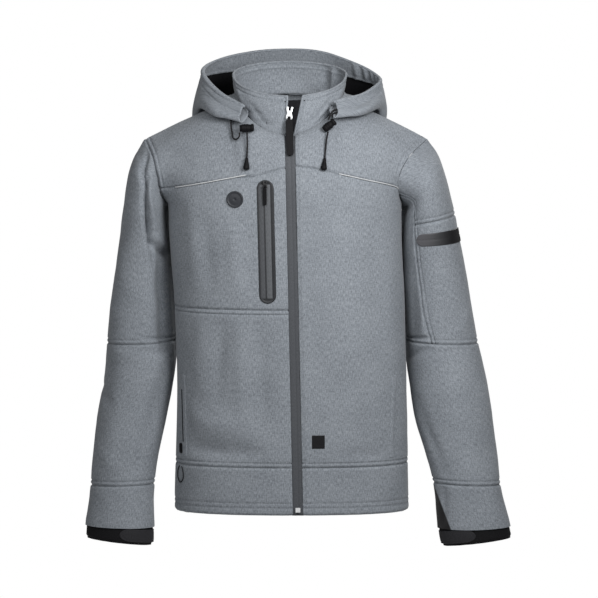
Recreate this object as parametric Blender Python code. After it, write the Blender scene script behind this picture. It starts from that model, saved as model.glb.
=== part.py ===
"""Hooded softshell work jacket, filled out as if worn, with nobody in it.

Metres, +Z up. The front faces -Y and the wearer's left is +X. The origin lies between
the shoulders, at the height where the wearer's shoulders carry the jacket.
"""
import math

import bmesh
import bpy
import numpy as np
from mathutils import Matrix, Vector

QUARTER = math.pi / 2
FRONT = -1
BACK = 1
RIGHT = -1
LEFT = 1


def columns(names, rows):
    """Turn a short table into named columns."""
    values = np.array(rows, dtype=float)
    return {name: values[:, k] for k, name in enumerate(names.split())}


# Cloth and gaps
CLOTH = 0.0016
THIN_CLOTH = 0.0011
SEAM = 0.0003
LIFT = 0.0004
ARMHOLE_GAP = 0.0005
SIDE_CLEARANCE = 0.004
SIDE_CLEARANCE_RAMP = 0.02

# Body
HEM_Z = -0.686
HEM_SEAM_Z = -0.603
CHEST_SEAM_Z = -0.327
ARMPIT_Z = -0.150
ROUNDNESS = 0.85
TORSO = columns("z half_width front back", (
    (-0.686, 0.2050, 0.128, 0.118),
    (-0.603, 0.2035, 0.128, 0.117),
    (-0.450, 0.2005, 0.127, 0.115),
    (-0.330, 0.2015, 0.130, 0.117),
    (-0.190, 0.2035, 0.129, 0.120),
    (-0.150, 0.2045, 0.127, 0.120),
))
LEAN = columns("z shift", (
    (-0.686, 0.0000),
    (-0.450, 0.0000),
    (-0.330, -0.0035),
    (-0.190, -0.0110),
    (-0.040, -0.0095),
    (0.030, -0.0040),
    (0.120, -0.0030),
))

# Neckline, shoulder seam and armhole
NECK_ACROSS = 0.25
NECK_X = 0.090
NECK_Z = 0.030
NECK_FRONT_Y = -0.090
NECK_FRONT_Z = -0.022
NECK_BACK_Y = 0.078
NECK_BACK_Z = 0.040
NECK_ROUNDING = 1.75
SHOULDER_X = 0.2475
SHOULDER_Y = 0.005
SHOULDER_Z = -0.036
SHOULDER_ROUNDING = 1.25
ARMHOLE = columns("w front_x front_y front_z back_x back_y back_z", (
    (0.00, 0.2045, 0.000, -0.150, 0.2045, 0.000, -0.150),
    (0.25, 0.1990, -0.040, -0.130, 0.2030, 0.045, -0.128),
    (0.50, 0.1985, -0.058, -0.100, 0.2060, 0.066, -0.098),
    (0.75, 0.2150, -0.045, -0.066, 0.2230, 0.052, -0.064),
    (1.00, 0.2475, 0.005, -0.036, 0.2475, 0.005, -0.036),
))
ARMHOLE_RIGHT_OUT = 0.024
ARMHOLE_RIGHT_BACK = 0.006
YOKE = columns("across z", (
    (0.00, -0.074),
    (0.25, -0.089),
    (0.50, -0.103),
    (0.75, -0.113),
    (1.00, -0.121),
))
YOKE_RIGHT_SAG = 0.0080
YOKE_SAG_FULL = 0.16

# Main zip: its centre line leans a little towards the wearer's left at the hem
ZIP_TOP_X = -0.003
ZIP_TOP_Z = -0.020
ZIP_SLANT = -0.0216
ZIP_WIDTH = 0.0175
ZIP_CLOSED_Z = 0.006
ZIP_ACROSS = 0.03

# Where the panels are sampled
ACROSS = np.array((0.065, 0.125, 0.19, 0.25, 0.35, 0.46, 0.57, 0.68, 0.78, 0.87, 0.94, 1.0))
HEM_ROWS = np.linspace(HEM_Z, HEM_SEAM_Z, 3)
LOWER_ROWS = np.linspace(HEM_SEAM_Z, CHEST_SEAM_Z, 6)
CHEST_ROWS = np.linspace(CHEST_SEAM_Z, ARMPIT_Z, 4)
BELOW_YOKE = np.linspace(0, 1, 4)
ABOVE_YOKE = np.linspace(0, 1, 7)

# Sleeves: a row for each section across the arm, distances from the middle of the body
SLEEVE_NAMES = "outer_x outer_z inner_x inner_z centre_y half_depth back_in"
SLEEVES = {
    RIGHT: columns(SLEEVE_NAMES, (
        (0.2780, -0.080, 0.2215, -0.155, 0.008, 0.078, 0.006),
        (0.2900, -0.147, 0.2210, -0.174, 0.015, 0.080, 0.024),
        (0.2970, -0.210, 0.2165, -0.217, 0.024, 0.078, 0.025),
        (0.3090, -0.285, 0.2110, -0.290, 0.030, 0.073, 0.019),
        (0.3180, -0.354, 0.2070, -0.356, 0.033, 0.069, 0.015),
        (0.3225, -0.397, 0.2060, -0.394, 0.033, 0.068, 0.013),
        (0.3285, -0.455, 0.2060, -0.452, 0.029, 0.066, 0.005),
        (0.3405, -0.522, 0.2180, -0.522, 0.022, 0.062, 0.000),
        (0.3490, -0.600, 0.2340, -0.598, 0.010, 0.056, 0.000),
        (0.3525, -0.644, 0.2400, -0.642, 0.004, 0.053, 0.000),
        (0.3580, -0.703, 0.2425, -0.715, -0.003, 0.049, 0.000),
        (0.3603, -0.736, 0.2434, -0.749, -0.006, 0.047, 0.000),
    )),
    LEFT: columns(SLEEVE_NAMES, (
        (0.2600, -0.076, 0.2030, -0.155, 0.008, 0.078, 0.006),
        (0.2800, -0.145, 0.1980, -0.174, 0.015, 0.080, 0.013),
        (0.2935, -0.210, 0.1945, -0.217, 0.024, 0.078, 0.014),
        (0.3066, -0.280, 0.1960, -0.286, 0.030, 0.073, 0.015),
        (0.3194, -0.354, 0.2010, -0.356, 0.033, 0.069, 0.015),
        (0.3270, -0.397, 0.2045, -0.394, 0.033, 0.068, 0.015),
        (0.3410, -0.460, 0.2060, -0.456, 0.029, 0.067, 0.007),
        (0.3525, -0.532, 0.2160, -0.528, 0.022, 0.063, 0.000),
        (0.3610, -0.596, 0.2350, -0.592, 0.012, 0.058, 0.000),
        (0.3660, -0.644, 0.2475, -0.640, 0.004, 0.054, 0.000),
        (0.3785, -0.703, 0.2580, -0.717, -0.003, 0.050, 0.000),
        (0.3864, -0.736, 0.2646, -0.751, -0.006, 0.047, 0.000),
    )),
}
SLEEVE_BACK_FULL = 0.5
CAP_SECTION = 2.4
ELBOW_SECTION = 6
LOWER_SECTION = 10
CUFF_SECTION = 11
END_SECTION = 12
FRONT_SEAM_STEP = 7
FRONT_SEAM_ELBOW = 0.62
BACK_SEAM_STEP = 12
NECK_STEPS = 4
UPPER_ROWS = 10
CAP_ROWS = 5
POCKET_ROWS = 6
FOREARM_ROWS = 6
CUFF_ROWS = 3

# Collar: top edge as a tilted oval, standing on the neckline
COLLAR_TOP_X = 0.100
COLLAR_TOP_Y = 0.0765
COLLAR_SIDE_Z = 0.0755
COLLAR_FRONT_DROP = 0.0325
COLLAR_BACK_RISE = 0.0175
COLLAR_BULGE = 0.003
COLLAR_LEFT_OPEN = 0.054
COLLAR_ROWS = 5

# Hood laid back: a row for each section, from the middle of the back round to the throat
HOOD_POINTS = ("under", "fold", "outer", "rim")
HOOD_COLUMNS = " ".join(("place", *(f"{point}_{axis}" for point in HOOD_POINTS for axis in "xyz")))
HOOD = columns(HOOD_COLUMNS, (
    (0.00, 0.000, 0.132, -0.035, 0.000, 0.158, -0.128, 0.000, 0.186, -0.040, 0.000, 0.122, 0.112),
    (0.22, 0.070, 0.120, -0.030, 0.082, 0.150, -0.105, 0.086, 0.174, -0.030, 0.072, 0.113, 0.109),
    (0.46, 0.128, 0.074, 0.002, 0.154, 0.094, -0.044, 0.166, 0.098, 0.000, 0.142, 0.070, 0.094),
    (0.66, 0.136, 0.006, 0.030, 0.157, 0.014, 0.015, 0.163, 0.012, 0.034, 0.156, 0.006, 0.076),
    (0.84, 0.114, -0.050, 0.014, 0.128, -0.060, 0.008, 0.134, -0.060, 0.024, 0.122, -0.046, 0.046),
    (1.00, 0.073, -0.088, 0.004, 0.080, -0.095, -0.002, 0.086, -0.092, 0.009, 0.080, -0.080, 0.027),
))
HOOD_SEAM_RISE = 0.22
HOOD_SEAM_GAP = 0.0008
HOOD_SEAM_HELD = 0.66
HOOD_SEAM_TIP = (0.069, -0.076, 0.014)
HOOD_LEFT_DROP = 0.020
HOOD_LEFT_TIP_RISE = 0.008
HOOD_LEFT_TIP_START = 0.7
HOOD_RIM_SHIFT = 0.012
HOOD_RIGHT_STEPS = 20
HOOD_TIP_STEPS = 6
LINING_STEPS = 10
FACING_STEPS = 3
FACING_START = 0.945
HOOD_LAYER_GAP = 0.0009
GATHERS = 7
GATHER_PLACES = (0.30, 0.72)
GATHER_DEPTH = 0.0030
GATHER_SHARES = (0.3, 1.0, 1.0, 0.6)

# What lies on the panels: places are x and z as seen from the front
TRIM = 0.0010
POCKET_TOP = (-0.046, -0.0997)
POCKET_BOTTOM = (-0.041, -0.3149)
POCKET_HALF_WIDTH = 0.0148
POCKET_THICKNESS = 0.0014
BUTTON_PLACE = (-0.0984, -0.1338)
BUTTON_RADIUS = 0.0150
BUTTON_THICKNESS = 0.0026
LABEL_TOP = (0.0467, -0.5455)
LABEL_BOTTOM = (0.0467, -0.5685)
LABEL_HALF_WIDTH = 0.0111
WELTS = {
    "right": ((-0.1905, -0.445), (-0.1865, -0.590)),
    "left": ((0.1800, -0.445), (0.1745, -0.590)),
}
WELT_HALF_WIDTH = 0.0045
PIPING_ACROSS = {RIGHT: (0.172, 0.734), LEFT: (0.267, 0.975)}
PIPING_HALF_HEIGHT = 0.005
CUFF_TABS = {RIGHT: (0.50, 1.22), LEFT: (0.50, 1.22)}
CUFF_TAB_EDGE = 0.14
CUFF_TAB_STEPS = 15
SLEEVE_ZIP_TURNS = (-0.06, 0.67)
SLEEVE_ZIP_SECTION = 2.93
SLEEVE_ZIP_HALF = 0.185
SLEEVE_ZIP_STRAIGHT = 0.8
SLEEVE_ZIP_REACH = 1.005
SLEEVE_ZIP_STEPS = 13
SLEEVE_ZIP_ROWS = 3
TAPE_RECESS = 0.0004
TAPE_CHEST_ROWS = 8
TAPE_NECK_ROWS = 4
FLAP_ROWS = 4
FLAP_RISES = (0.06, 0.90)

# Sliders and pull tabs: the pin of each slider is the axis its tab swings on
MAIN_ZIP = {"slider_width": 0.0120, "slider_length": 0.0230, "slider_thickness": 0.0036, "pin_drop": 0.0085,
            "eye_width": 0.0050, "tab_width": 0.0125, "tab_length": 0.068, "tab_thickness": 0.0020}
MAIN_SLIDER_Z = 0.0135
MAIN_TAB_END_Z = -0.066
CHEST_ZIP = {"slider_width": 0.0090, "slider_length": 0.0120, "slider_thickness": 0.0022, "pin_drop": 0.0035,
             "eye_width": 0.0034, "tab_width": 0.0062, "tab_length": 0.032, "tab_thickness": 0.0016}
CHEST_SLIDER_PLACE = (-0.0460, -0.1080)
CHEST_TAB_END_Z = -0.146
TAB_CLEARANCE = 0.0012
PIN_RADIUS = 0.0009
EYE_BORE = 0.0013
EYE_RADIUS = 0.0023
TAB_SHOULDER = 0.0032
PIN_RISE = 0.0027
LUG_WIDTH = 0.0012
SLIDER_NUDGE = 0.01
STOP_ENDS = (-0.6720, -0.6800)
STOP_HALF_WIDTH = 0.0042

# Drawstrings: a row for each point of a route, as x, z and the distance out from the front
CORD = 0.0030
HEM_CORD = 0.0018
ROUTE = "x z out"
UPPER_RIGHT_ROUTE = columns(ROUTE, (
    (-0.1035, -0.0022, 0.0090),
    (-0.1040, -0.0140, 0.0050),
    (-0.1025, -0.0230, 0.0045),
    (-0.0985, -0.0305, 0.0050),
    (-0.0930, -0.0330, 0.0065),
    (-0.0885, -0.0300, 0.0085),
    (-0.0868, -0.0235, 0.0105),
))
LOWER_ROUTES = {
    "right": columns(ROUTE, (
        (-0.0758, -0.0340, 0.0066),
        (-0.0762, -0.0480, 0.0042),
        (-0.0770, -0.0625, 0.0041),
    )),
    "left": columns(ROUTE, (
        (0.0598, -0.0320, 0.0070),
        (0.0585, -0.0460, 0.0042),
        (0.0570, -0.0630, 0.0041),
    )),
}
STRAND = "x y z"
LEFT_STRANDS = {
    "hood_cord_front_left": columns(STRAND, (
        (0.0880, -0.0760, 0.0215),
        (0.0815, -0.0812, 0.0205),
        (0.0745, -0.0862, 0.0195),
        (0.0700, -0.0905, 0.0160),
        (0.0672, -0.0940, 0.0105),
        (0.0640, -0.0972, 0.0028),
    )),
    "hood_cord_side_left": columns(STRAND, (
        (0.0925, -0.0740, 0.0165),
        (0.0860, -0.0795, 0.0155),
        (0.0790, -0.0855, 0.0148),
        (0.0740, -0.0905, 0.0145),
        (0.0715, -0.0945, 0.0125),
        (0.0710, -0.0970, 0.0080),
    )),
}
LOCKS = {
    "right": {"x": -0.0763, "z": -0.0165, "out": 0.0105, "axis": (1.0, 0.0, 0.05)},
    "left": {"x": 0.0640, "z": -0.0125, "out": 0.0109, "axis": (1.0, 0.0, 0.80)},
}
LOCK_RADIUS = 0.0070
LOCK_LENGTH = 0.0250
CORD_END_RADIUS = 0.0045
CORD_END_LENGTH = 0.0210
HEM_LOOP = columns(ROUTE, (
    (-0.1950, -0.6060, 0.0012),
    (-0.1975, -0.6150, 0.0014),
    (-0.1972, -0.6270, 0.0016),
    (-0.1930, -0.6345, 0.0018),
    (-0.1885, -0.6280, 0.0016),
    (-0.1885, -0.6160, 0.0014),
    (-0.1910, -0.6065, 0.0012),
))
TOGGLE = {"x": -0.1880, "z": -0.6830, "gap": 0.0011, "radius": 0.0040, "length": 0.0110}

COLOURS = {
    "cloth": ((0.205, 0.223, 0.246), 0.85, 0.0),
    "lining": ((0.012, 0.012, 0.014), 0.90, 0.0),
    "cuff": ((0.016, 0.016, 0.018), 0.80, 0.0),
    "welded zip": ((0.040, 0.042, 0.047), 0.55, 0.0),
    "zip tape": ((0.105, 0.112, 0.122), 0.60, 0.0),
    "rubber": ((0.012, 0.012, 0.013), 0.50, 0.0),
    "metal": ((0.620, 0.630, 0.640), 0.30, 1.0),
    "piping": ((0.520, 0.530, 0.540), 0.40, 0.0),
    "cord": ((0.014, 0.014, 0.015), 0.70, 0.0),
}


def smooth(at, knots, values):
    """Cubic curve through the rows of a column, held level past its ends."""
    at = np.clip(at, knots[0], knots[-1])
    slope = np.gradient(values, knots, axis=0)
    k = np.clip(np.searchsorted(knots, at) - 1, 0, len(knots) - 2)
    step = knots[k + 1] - knots[k]
    t = (at - knots[k]) / step
    spread = t.shape + (1,) * (values.ndim - 1)
    t = t.reshape(spread)
    step = step.reshape(spread)
    near = (1 + 2 * t) * (1 - t) ** 2 * values[k] + t * (1 - t) ** 2 * step * slope[k]
    far = t * t * (3 - 2 * t) * values[k + 1] + t * t * (t - 1) * step * slope[k + 1]
    return near + far


def lean(z):
    """Sideways shift of the whole body at a height."""
    return smooth(z, LEAN["z"], LEAN["shift"])


def neck_and_shoulder(face, across):
    """Top edge of the body: half the neckline, then the shoulder seam."""
    turn = np.clip(across / NECK_ACROSS, 0, 1) * QUARTER
    out = np.clip((across - NECK_ACROSS) / (1 - NECK_ACROSS), 0, 1)
    middle_y = NECK_FRONT_Y if face == FRONT else NECK_BACK_Y
    middle_z = NECK_FRONT_Z if face == FRONT else NECK_BACK_Z
    x = NECK_X * np.sin(turn) + (SHOULDER_X - NECK_X) * out
    y = middle_y * np.cos(turn) + SHOULDER_Y * out
    level_off = np.abs(np.cos(turn)) ** NECK_ROUNDING
    z = NECK_Z + (middle_z - NECK_Z) * level_off + (SHOULDER_Z - NECK_Z) * out ** SHOULDER_ROUNDING
    return x, y, z


def armhole(face, w, side):
    """Armhole edge from the underarm at w 0 to the shoulder point at w 1, straighter at the right front."""
    name = "front" if face == FRONT else "back"
    x, y, z = (smooth(w, ARMHOLE["w"], ARMHOLE[f"{name}_{axis}"]) for axis in "xyz")
    straighter = np.sin(w * math.pi) * (side == RIGHT) * (face == FRONT)
    return x + ARMHOLE_RIGHT_OUT * straighter, y + ARMHOLE_RIGHT_BACK * straighter, z


def torso(face, across, height):
    """Point on the body: across runs -1 to 1 from side to side, height 0 hem, 1 underarm, 2 top."""
    across, height = np.broadcast_arrays(np.asarray(across, float), np.asarray(height, float))
    a = np.abs(across)
    low_z = HEM_Z + (ARMPIT_Z - HEM_Z) * np.clip(height, 0, 1)
    w = np.clip(height - 1, 0, 1)
    depth = TORSO["front"] if face == FRONT else TORSO["back"]
    x = smooth(low_z, TORSO["z"], TORSO["half_width"]) * np.sin(a * QUARTER) ** ROUNDNESS
    y = face * smooth(low_z, TORSO["z"], depth) * np.abs(np.cos(a * QUARTER)) ** ROUNDNESS
    top_x, top_y, top_z = neck_and_shoulder(face, a)
    over = 1 - np.cos(w * QUARTER)
    rise = np.sin(w * QUARTER)
    hole_x, hole_y, hole_z = armhole(face, w, np.sign(across))
    pull = a ** 3
    under_x = TORSO["half_width"][-1]
    x = x + (top_x - x) * w + pull * (hole_x - under_x - (SHOULDER_X - under_x) * w)
    y = y + (top_y - y) * over + pull * (hole_y - SHOULDER_Y * over)
    z = low_z + (top_z - low_z) * rise + pull * (hole_z - ARMPIT_Z - (SHOULDER_Z - ARMPIT_Z) * rise)
    z = np.where(w > 0, z, low_z)
    return np.stack((np.sign(across) * x + lean(z), y, z), axis=-1)


def bisect(measure, target, low, high):
    """Where a rising measure meets its target."""
    target = np.asarray(target, float)
    low = np.full(target.shape, low, float)
    high = np.full(target.shape, high, float)
    for _ in range(36):
        middle = (low + high) / 2
        below = measure(middle) < target
        low = np.where(below, middle, low)
        high = np.where(below, high, middle)
    return (low + high) / 2


def across_at(x, height):
    """Place across the front where it has this x."""
    x, height = np.broadcast_arrays(np.asarray(x, float), np.asarray(height, float))
    return bisect(lambda across: torso(FRONT, across, height)[..., 0], x, -1, 1)


def height_at(across, z):
    """Height coordinate on the front where it has this z."""
    across, z = np.broadcast_arrays(np.asarray(across, float), np.asarray(z, float))
    return bisect(lambda height: torso(FRONT, across, height)[..., 2], z, 0, 2)


def front_place(x, z):
    """Coordinates on the front of the point seen at x, z."""
    across = np.asarray(x, float) / TORSO["half_width"][-1]
    for _ in range(6):
        height = height_at(across, z)
        across = across_at(x, height)
    return across, height


def front_frame(x, z):
    """Point on the front seen at x, z, and the direction out of the cloth there."""
    across, height = front_place(x, z)
    nudge = 0.002
    point = torso(FRONT, across, height)
    sideways = torso(FRONT, across + nudge, height) - torso(FRONT, across - nudge, height)
    upwards = torso(FRONT, across, height + nudge) - torso(FRONT, across, height - nudge)
    out = np.cross(sideways, upwards)
    return point, out / np.linalg.norm(out, axis=-1, keepdims=True)


def low_height(z):
    """Height coordinate of a level below the underarm."""
    return (np.asarray(z, float) - HEM_Z) / (ARMPIT_Z - HEM_Z)


def zip_x(z):
    """Centre line of the main zip."""
    return ZIP_TOP_X + ZIP_SLANT * (z - ZIP_TOP_Z)


def zip_edge(side, height, half=ZIP_WIDTH / 2):
    """Place across the front of one edge of the zip opening, or of a strip in it."""
    across = np.zeros_like(height)
    for _ in range(3):
        z = torso(FRONT, across, height)[..., 2]
        across = across_at(zip_x(z) + side * half, height)
    return across


def yoke_height(across):
    """Height coordinate of the yoke seam, which sags a little on the right."""
    reach = np.abs(across)
    sag = YOKE_RIGHT_SAG * np.clip(-across / YOKE_SAG_FULL, 0, 1) * np.sqrt(1 - reach)
    return height_at(across, smooth(reach, YOKE["across"], YOKE["z"]) - sag)


def face_out(face, across, height):
    """Direction out of the cloth on one face of the body."""
    nudge = 0.001
    wider = torso(face, np.clip(across + nudge, -1, 1), height)
    narrower = torso(face, np.clip(across - nudge, -1, 1), height)
    higher = torso(face, across, np.clip(height + nudge, 0, 2))
    lower = torso(face, across, np.clip(height - nudge, 0, 2))
    return unit(-face * np.cross(wider - narrower, higher - lower))


def torso_out(face, across, height):
    """Direction out of the cloth on the body, shared by front and back along the shoulder seam."""
    own = face_out(face, across, height)
    shared = unit(face_out(FRONT, across, height) + face_out(BACK, across, height))
    on_shoulder = (height >= 2) & (np.abs(across) >= NECK_ACROSS)
    return np.where(on_shoulder[..., None], shared, own)


def unit(vectors):
    """Vectors at length 1."""
    return vectors / np.linalg.norm(vectors, axis=-1, keepdims=True)


def grid_out(grid, closed):
    """Directions across a grid of points, from the neighbours along its rows and columns."""
    along_rows = np.gradient(grid, axis=0)
    along_columns = np.gradient(grid, axis=1)
    if closed:
        along_columns = np.roll(grid, -1, axis=1) - np.roll(grid, 1, axis=1)
    return unit(np.cross(along_columns, along_rows))


def sleeve(side, section, turn):
    """Point on a sleeve: section 0 armhole to 12 cuff, turn 0 outer, 0.5 front, 1 inner, 1.5 back."""
    section, turn = np.broadcast_arrays(np.asarray(section, float), np.asarray(turn, float))
    table = SLEEVES[side]
    w = np.abs(1 - np.mod(turn, 2))
    hole = np.where((np.mod(turn, 2) <= 1)[..., None],
                    np.stack(armhole(FRONT, w, side), axis=-1),
                    np.stack(armhole(BACK, w, side), axis=-1))
    rings = [np.stack((hole[..., 0] + side * lean(hole[..., 2]), hole[..., 1], hole[..., 2]), axis=-1)]
    outwards = (1 + np.cos(turn * math.pi)) / 2
    forwards = np.sin(turn * math.pi)
    t = np.clip(-forwards / SLEEVE_BACK_FULL, 0, 1)
    behind = t * t * (3 - 2 * t) * (1 - outwards)
    for k in range(END_SECTION):
        x = table["inner_x"][k] + (table["outer_x"][k] - table["inner_x"][k]) * outwards
        x = x - table["back_in"][k] * behind
        y = table["centre_y"][k] - table["half_depth"][k] * forwards
        z = table["inner_z"][k] + (table["outer_z"][k] - table["inner_z"][k]) * outwards
        rings.append(np.stack((x, y, z), axis=-1))
    rings = np.stack(rings)
    slopes = np.gradient(rings, axis=0)
    k = np.clip(np.floor(section), 0, END_SECTION - 1).astype(int)
    t = (section - k)[..., None]
    pick = k[None, ..., None]
    near = np.take_along_axis(rings, pick, 0)[0]
    far = np.take_along_axis(rings, pick + 1, 0)[0]
    leaving = np.take_along_axis(slopes, pick, 0)[0]
    arriving = np.take_along_axis(slopes, pick + 1, 0)[0]
    points = (1 + 2 * t) * (1 - t) ** 2 * near + t * (1 - t) ** 2 * leaving
    points = points + t * t * (3 - 2 * t) * far + t * t * (t - 1) * arriving
    return clear_of_body(side, points)


def clear_of_body(side, points):
    """Sleeve points below the underarm, kept just outside the side of the body."""
    x, y, z = (points[..., k] for k in range(3))
    wide = smooth(z, TORSO["z"], TORSO["half_width"])
    deep = np.where(y < 0, smooth(z, TORSO["z"], TORSO["front"]), smooth(z, TORSO["z"], TORSO["back"]))
    share = np.clip(1 - np.abs(y / deep) ** (2 / ROUNDNESS), 0, 1) ** (ROUNDNESS / 2)
    room = SIDE_CLEARANCE * np.clip((ARMPIT_Z - z) / SIDE_CLEARANCE_RAMP, 0, 1)
    limit = wide * share + side * lean(z) + room
    x = np.where(z < ARMPIT_Z, np.maximum(x, limit), x)
    return np.stack((side * x, y, z), axis=-1)


def sleeve_out(side, section, turn):
    """Direction out of the cloth on a sleeve."""
    nudge = 0.02
    onwards = sleeve(side, np.clip(section + nudge, 0, END_SECTION), turn)
    backwards = sleeve(side, np.clip(section - nudge, 0, END_SECTION), turn)
    around = sleeve(side, section, turn + nudge) - sleeve(side, section, turn - nudge)
    return unit(side * np.cross(around, onwards - backwards))


def armhole_out(side, turn):
    """Direction out of the cloth at the armhole seam, halfway between body and sleeve."""
    turn = np.asarray(turn, float)
    w = np.abs(1 - turn)
    edge = np.full_like(w, side)
    body = np.where((turn <= 1)[..., None], torso_out(FRONT, edge, 1 + w), torso_out(BACK, edge, 1 + w))
    return unit(body + sleeve_out(side, np.zeros_like(turn), turn))


def collar(turn, rise):
    """Point on the collar: turn 0 front, 1 side, 2 back, signed by side; rise 0 neckline to 1 top edge."""
    turn, rise = np.broadcast_arrays(np.asarray(turn, float), np.asarray(rise, float))
    side = np.sign(turn)
    around = np.abs(turn)
    front = torso(FRONT, side * np.clip(around, 0, 1) * NECK_ACROSS, 2.0)
    back = torso(BACK, side * np.clip(2 - around, 0, 1) * NECK_ACROSS, 2.0)
    base = np.where((around <= 1)[..., None], front, back)
    forwards = np.cos(around * QUARTER)
    sideways = side * np.sin(around * QUARTER)
    tilt = np.where(forwards > 0, COLLAR_FRONT_DROP, COLLAR_BACK_RISE)
    top_z = COLLAR_SIDE_Z - tilt * forwards
    top = np.stack((COLLAR_TOP_X * sideways + lean(top_z), -COLLAR_TOP_Y * forwards, top_z), axis=-1)
    bulge = COLLAR_BULGE * np.sin(rise * math.pi)
    swell = np.stack((bulge * sideways, -bulge * forwards, np.zeros_like(bulge)), axis=-1)
    return base + (top - base) * rise[..., None] + swell


def hood_key_points():
    """The hood's sections for both sides, in order from the right throat round the back to the left."""
    half = np.stack([np.stack([HOOD[f"{point}_{axis}"] for axis in "xyz"], axis=-1)
                     for point in HOOD_POINTS], axis=1)
    mirrored = half[:0:-1] * np.array((-1, 1, 1))
    places = np.concatenate((-HOOD["place"][:0:-1], HOOD["place"]))
    return places, np.concatenate((mirrored, half))


def hood_seam(place):
    """Neck seam of the hood: on the collar from the back to the sides, then free to the throat."""
    side = np.where(place < 0, RIGHT, LEFT)
    reach = np.abs(place)
    turn = side * (2 - reach / HOOD_SEAM_HELD)
    held = collar(turn, HOOD_SEAM_RISE)
    held[:, 0] += HOOD_SEAM_GAP * np.sin(turn * QUARTER) - lean(held[:, 2])
    held[:, 1] -= HOOD_SEAM_GAP * np.cos(turn * QUARTER)
    loose = np.clip((reach - HOOD_SEAM_HELD) / (1 - HOOD_SEAM_HELD), 0, 1)[:, None] ** 2
    tip = np.array(HOOD_SEAM_TIP) * np.stack((side, np.ones_like(side), np.ones_like(side)), axis=-1)
    return held + loose * (tip - held)


def hood(place, along):
    """Grid on the hood: place -1 right throat, 0 back, 1 left throat; along 0 neck seam to 1 rim."""
    places, points = hood_key_points()
    sections = np.concatenate((hood_seam(place)[:, None, :], smooth(place, places, points)), axis=1)
    knots = np.linspace(0, 1, len(HOOD_POINTS) + 1)
    grid = smooth(along, knots, np.moveaxis(sections, 1, 0))
    drop = HOOD_LEFT_DROP * np.sin(np.clip(place, 0, 1) * math.pi) ** 2
    grid[..., 2] -= drop[None, :] * along[:, None] ** 2
    tip = np.clip((place - HOOD_LEFT_TIP_START) / (1 - HOOD_LEFT_TIP_START), 0, 1)
    grid[..., 2] += HOOD_LEFT_TIP_RISE * tip[None, :] ** 2
    shift = (along[:, None] * np.cos(place * QUARTER)[None, :]) ** 2
    grid[..., 0] += HOOD_RIM_SHIFT * shift + lean(grid[..., 2])
    return grid


def hood_places():
    """Places across the hood, close together where its facing is gathered."""
    first, last = GATHER_PLACES
    gathered = np.linspace(first, last, 4 * GATHERS + 1)
    right = np.linspace(-1, first, HOOD_RIGHT_STEPS)
    tip = np.linspace(last, 1, HOOD_TIP_STEPS)
    return np.concatenate((right, gathered[1:-1], tip))


def hood_rows():
    """Places from the hood's neck seam to its rim, close together in the facing."""
    lining = np.linspace(0, FACING_START, LINING_STEPS + 1)
    facing = np.linspace(FACING_START, 1, FACING_STEPS + 1)
    return np.concatenate((lining, facing[1:]))


def gathers(place):
    """Height of the gathers of the hood facing, 0 to 1."""
    first, last = GATHER_PLACES
    share = np.clip((place - first) / (last - first), 0, 1)
    return np.sin(share * GATHERS * math.pi) ** 2


def material(name):
    """One plain finish from the table of colours."""
    if name in bpy.data.materials:
        return bpy.data.materials[name]
    colour, roughness, metallic = COLOURS[name]
    made = bpy.data.materials.new(name)
    made.use_nodes = True
    shader = made.node_tree.nodes["Principled BSDF"]
    shader.inputs["Base Color"].default_value = (*colour, 1.0)
    shader.inputs["Roughness"].default_value = roughness
    shader.inputs["Metallic"].default_value = metallic
    return made


def place_object(name, data, finish):
    """Put a mesh or curve in the scene under its name."""
    thing = bpy.data.objects.new(name, data)
    data.materials.append(material(finish))
    bpy.context.scene.collection.objects.link(thing)
    return thing


def finish_mesh(name, work, finish):
    """Turn worked geometry into an object with its faces pointing out."""
    if work.calc_volume(signed=True) < 0:
        bmesh.ops.reverse_faces(work, faces=work.faces)
    data = bpy.data.meshes.new(name)
    work.to_mesh(data)
    work.free()
    return place_object(name, data, finish)


def skin(name, finish, outer, inner, closed=False):
    """Closed wall between an outer and an inner grid, its edges split alike on both sides of a seam."""
    work = bmesh.new()
    top = [[work.verts.new(point) for point in row] for row in outer]
    low = [[work.verts.new(point) for point in row] for row in inner]
    rows, count = outer.shape[:2]
    spans = [(c, (c + 1) % count) for c in range(count if closed else count - 1)]
    for r in range(rows - 1):
        for c, d in spans:
            work.faces.new((top[r][c], top[r][d], top[r + 1][d], top[r + 1][c]))
            work.faces.new((low[r][c], low[r + 1][c], low[r + 1][d], low[r][d]))
    for c, d in spans:
        work.faces.new((top[0][d], top[0][c], low[0][c]))
        work.faces.new((top[0][d], low[0][c], low[0][d]))
        work.faces.new((top[-1][c], top[-1][d], low[-1][c]))
        work.faces.new((top[-1][d], low[-1][d], low[-1][c]))
    if not closed:
        for r in range(rows - 1):
            work.faces.new((top[r][0], top[r + 1][0], low[r][0]))
            work.faces.new((top[r + 1][0], low[r + 1][0], low[r][0]))
            work.faces.new((top[r + 1][-1], top[r][-1], low[r][-1]))
            work.faces.new((top[r + 1][-1], low[r][-1], low[r + 1][-1]))
    return finish_mesh(name, work, finish)


def trimmed(grid, closed):
    """Grid drawn in by half a seam gap along its open edges."""
    grid = grid.copy()
    grid[0] += unit(grid[1] - grid[0]) * SEAM / 2
    grid[-1] += unit(grid[-2] - grid[-1]) * SEAM / 2
    if not closed:
        grid[:, 0] += unit(grid[:, 1] - grid[:, 0]) * SEAM / 2
        grid[:, -1] += unit(grid[:, -2] - grid[:, -1]) * SEAM / 2
    return grid


def wall(name, finish, grid, out, closed=False, thickness=CLOTH):
    """Cloth panel with this outer face."""
    outer = trimmed(grid, closed)
    return skin(name, finish, outer, outer - thickness * out, closed)


def moved_out(name, finish, grid, out, thickness, lift=LIFT, closed=False):
    """Piece that lies on a panel, made from the panel's own points."""
    return skin(name, finish, grid + (lift + thickness) * out, grid + lift * out, closed)


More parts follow.
